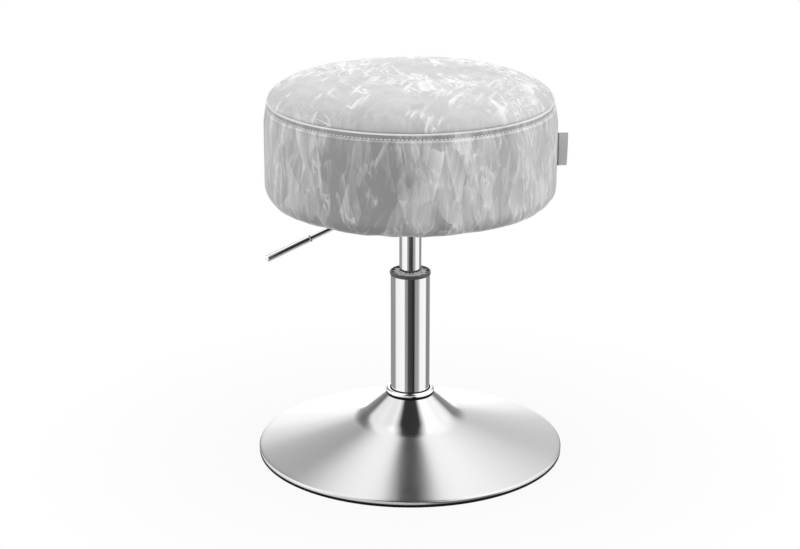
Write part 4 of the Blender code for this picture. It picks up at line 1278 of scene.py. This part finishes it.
# Light of the studio, in rows round the horizon: degrees to the right of the camera's side, and brightness
LOW_SIDES = (
    ((-118, 1.55), (-95, 1.65), (-78, 1.65), (-60, 1.35), (-46, 0.90)),
    ((44, 1.40), (60, 1.65), (90, 1.60), (115, 1.45)),
)
HIGH_SIDES = (
    ((-115, 1.30), (-90, 1.60), (-72, 1.55), (-54, 1.10), (-40, 0.90)),
    ((46, 1.40), (60, 1.60), (90, 1.55)),
)
STRIP_LEFT = 8
STRIP_RIGHT = 6
STRIP_SOFT = 3
STRIP_BRIGHT = 0.02
LEFT_OF_STRIP = 0.80
RIGHT_OF_STRIP = 0.85


def front(sides, strip):
    """Light on the camera's side: the side panels, and between them the strip that the lever mirrors."""
    left, right = sides
    start, end = strip - STRIP_LEFT, strip + STRIP_RIGHT
    rise = ((start - STRIP_SOFT, LEFT_OF_STRIP), (start, STRIP_BRIGHT))
    fall = ((end, STRIP_BRIGHT), (end + STRIP_SOFT, RIGHT_OF_STRIP))
    return left + rise + fall + right


NADIR = ((-180, 0.35), (180, 0.35))
UNDERFOOT = (
    ((-180, 1.10), (-60, 1.10), (0, 1.40), (12, 1.30))
    + ((20, 0.25), (75, 0.25), (85, 1.10), (180, 1.10))
)
BELOW = (
    ((-180, 0.33), (-102, 0.33), (-91, 1.00), (-36, 1.10), (-30, 0.36), (-17, 0.32), (-13, 0.07))
    + ((5, 0.05), (24, 0.02), (28, 0.32), (50, 0.42), (60, 1.05), (102, 1.10), (109, 0.27), (180, 0.33))
)
HORIZON = (
    ((-180, 1.50), (-171, 1.50), (-166, 0.45), (-150, 0.35), (-141, 1.20))
    + front(LOW_SIDES, 21)
    + ((141, 1.20), (150, 0.40), (164, 0.40), (171, 1.20), (176, 1.50), (180, 1.50))
)
LOW = (
    ((-180, 1.50), (-168, 1.50), (-163, 0.50), (-156, 0.30), (-144, 0.30), (-136, 1.20))
    + front(LOW_SIDES, 15)
    + ((136, 1.30), (144, 0.30), (158, 0.35), (166, 0.85), (170, 1.00), (175, 1.30), (180, 1.50))
)
MIDDLE = (
    ((-180, 1.50), (-170, 1.40), (-165, 1.15), (-160, 0.50), (-154, 0.25), (-140, 0.25), (-132, 1.20))
    + front(LOW_SIDES, 12)
    + ((134, 1.40), (141, 0.35), (152, 0.35), (160, 0.70), (165, 0.87), (172, 1.10), (180, 1.50))
)
SHADED = (
    ((-180, 1.40), (-170, 1.00), (-163, 0.75), (-158, 0.40), (-152, 0.22), (-140, 0.25), (-131, 1.20))
    + front(HIGH_SIDES, 9)
    + ((128, 1.40), (136, 1.00), (148, 0.70), (158, 0.80), (163, 0.86), (170, 1.10), (180, 1.40))
)
SOFT = (
    ((-180, 1.40), (-172, 1.00), (-162, 0.68), (-157, 0.40), (-152, 0.22), (-142, 0.30), (-130, 1.25))
    + front(HIGH_SIDES, 5.5)
    + ((126, 1.50), (145, 1.10), (160, 1.02), (170, 1.25), (180, 1.40))
)
PALE = (
    ((-180, 1.45), (-172, 1.10), (-161, 0.55), (-154, 0.30), (-143, 0.35), (-132, 1.30))
    + front(HIGH_SIDES, 2)
    + ((126, 1.55), (150, 1.20), (160, 1.18), (170, 1.30), (180, 1.45))
)
LIFTED = (
    ((-180, 1.50), (-170, 1.30), (-163, 1.05), (-155, 0.70), (-146, 0.70), (-135, 1.25))
    + front(HIGH_SIDES, -2)
    + ((160, 1.34), (180, 1.50))
)
RAISED = (
    ((-180, 1.52), (-100, 1.30), (-75, 1.20), (-45, 0.95), (-17, 0.85), (-12, 0.10))
    + ((-2, 0.10), (4, 0.90), (40, 1.60), (70, 1.80), (100, 1.65), (180, 1.52))
)
HIGH = ((-180, 1.50), (-90, 1.30), (0, 1.50), (90, 1.75), (180, 1.50))
OVERHEAD = ((-180, 2.20), (180, 2.20))
# Degrees above the horizon at which each row lies
STUDIO = (
    ((-48, NADIR), (-42, UNDERFOOT), (-29, UNDERFOOT), (-24, BELOW), (-16, BELOW), (-11, HORIZON))
    + ((3, HORIZON), (10, LOW), (18, MIDDLE), (25, SHADED), (33, SOFT), (39, PALE))
    + ((45, LIFTED), (51, RAISED), (62, HIGH), (80, OVERHEAD))
)
# Dark card overhead: shares of a unit sphere round the stool, narrower towards the back
CARD_HALF_WIDTH = 0.275
CARD_TAPER = 0.372
CARD_CENTRE = 0.006
CARD_TIP = 0.034
CARD_SOFT = 0.10
CARD_TIP_SOFT = 0.020
CARD_SOFTENS = (-0.55, -0.05)  # from the tip on towards the camera
CARD_LEVEL = math.radians(20)
CARD_FRONT_LEVEL = math.radians(53)
CARD_RISES = (-0.1, 0.25)
CARD_END = 0.1
CARD_BRIGHT = (0.05, 0.05, 0.05, 1)


def make_world():
    """Soft studio light: pale panels all round, a dark strip on the camera's side, a dark card above."""
    world = bpy.data.worlds.new("studio")
    bpy.context.scene.world = world
    world.use_nodes = True
    tree = world.node_tree
    tree.nodes.clear()
    x, y, z = split(add("TexCoord", {}, tree).outputs["Generated"])
    towards = times(y, -1.0)
    azimuth = remap(math_node("ARCTAN2", x, towards), -math.pi, math.pi, 0, 1)
    height = math_node("ARCSINE", z)
    light, last = None, None
    for degrees, row in STUDIO:
        level = math.radians(degrees)
        panel = ramp(azimuth, [((angle + 180) / 360, bright) for angle, bright in row])
        light = mixed(remap(height, last, level, 0, 1), light, panel) if light else panel
        last = level
    width = total([(towards, CARD_TAPER)], CARD_HALF_WIDTH)
    edge = math_node("MAXIMUM", width, CARD_TIP)
    off_centre = math_node("ABSOLUTE", math_node("SUBTRACT", x, CARD_CENTRE))
    soft = remap(towards, *CARD_SOFTENS, CARD_TIP_SOFT, CARD_SOFT)
    beside = math_node("DIVIDE", math_node("SUBTRACT", off_centre, edge), soft)
    level = remap(towards, *CARD_RISES, CARD_LEVEL, CARD_FRONT_LEVEL)
    above = remap(math_node("SUBTRACT", height, level), 0, CARD_END, 0, 1)
    card = times(above, remap(beside, -1, 1, 1, 0))
    light = mixed(card, light, CARD_BRIGHT)
    studio = add("Background", {"Color": light, "Strength": 1}).outputs[0]
    white = add("Background", {"Color": WHITE, "Strength": 1}, tree).outputs[0]
    seen = add("LightPath", {}, tree).outputs["Is Camera Ray"]
    both = add("MixShader", {0: seen, 1: studio, 2: white}).outputs[0]
    add("OutputWorld", {"Surface": both})


def make_camera():
    data = bpy.data.cameras.new("camera")
    data.lens = CAMERA_LENS
    data.sensor_width = SENSOR_WIDTH
    camera = placed("camera", data)
    camera.location = CAMERA_PLACE
    camera.rotation_euler = (math.pi / 2 - CAMERA_PITCH, 0, 0)
    bpy.context.scene.camera = camera
    bpy.context.scene.view_settings.view_transform = "Standard"


dress_cad()
make_base()
make_column()
make_collar()
make_seat()
make_tag()
make_lever()
make_underside()
clear_reflections()
make_floor()
make_world()
make_camera()
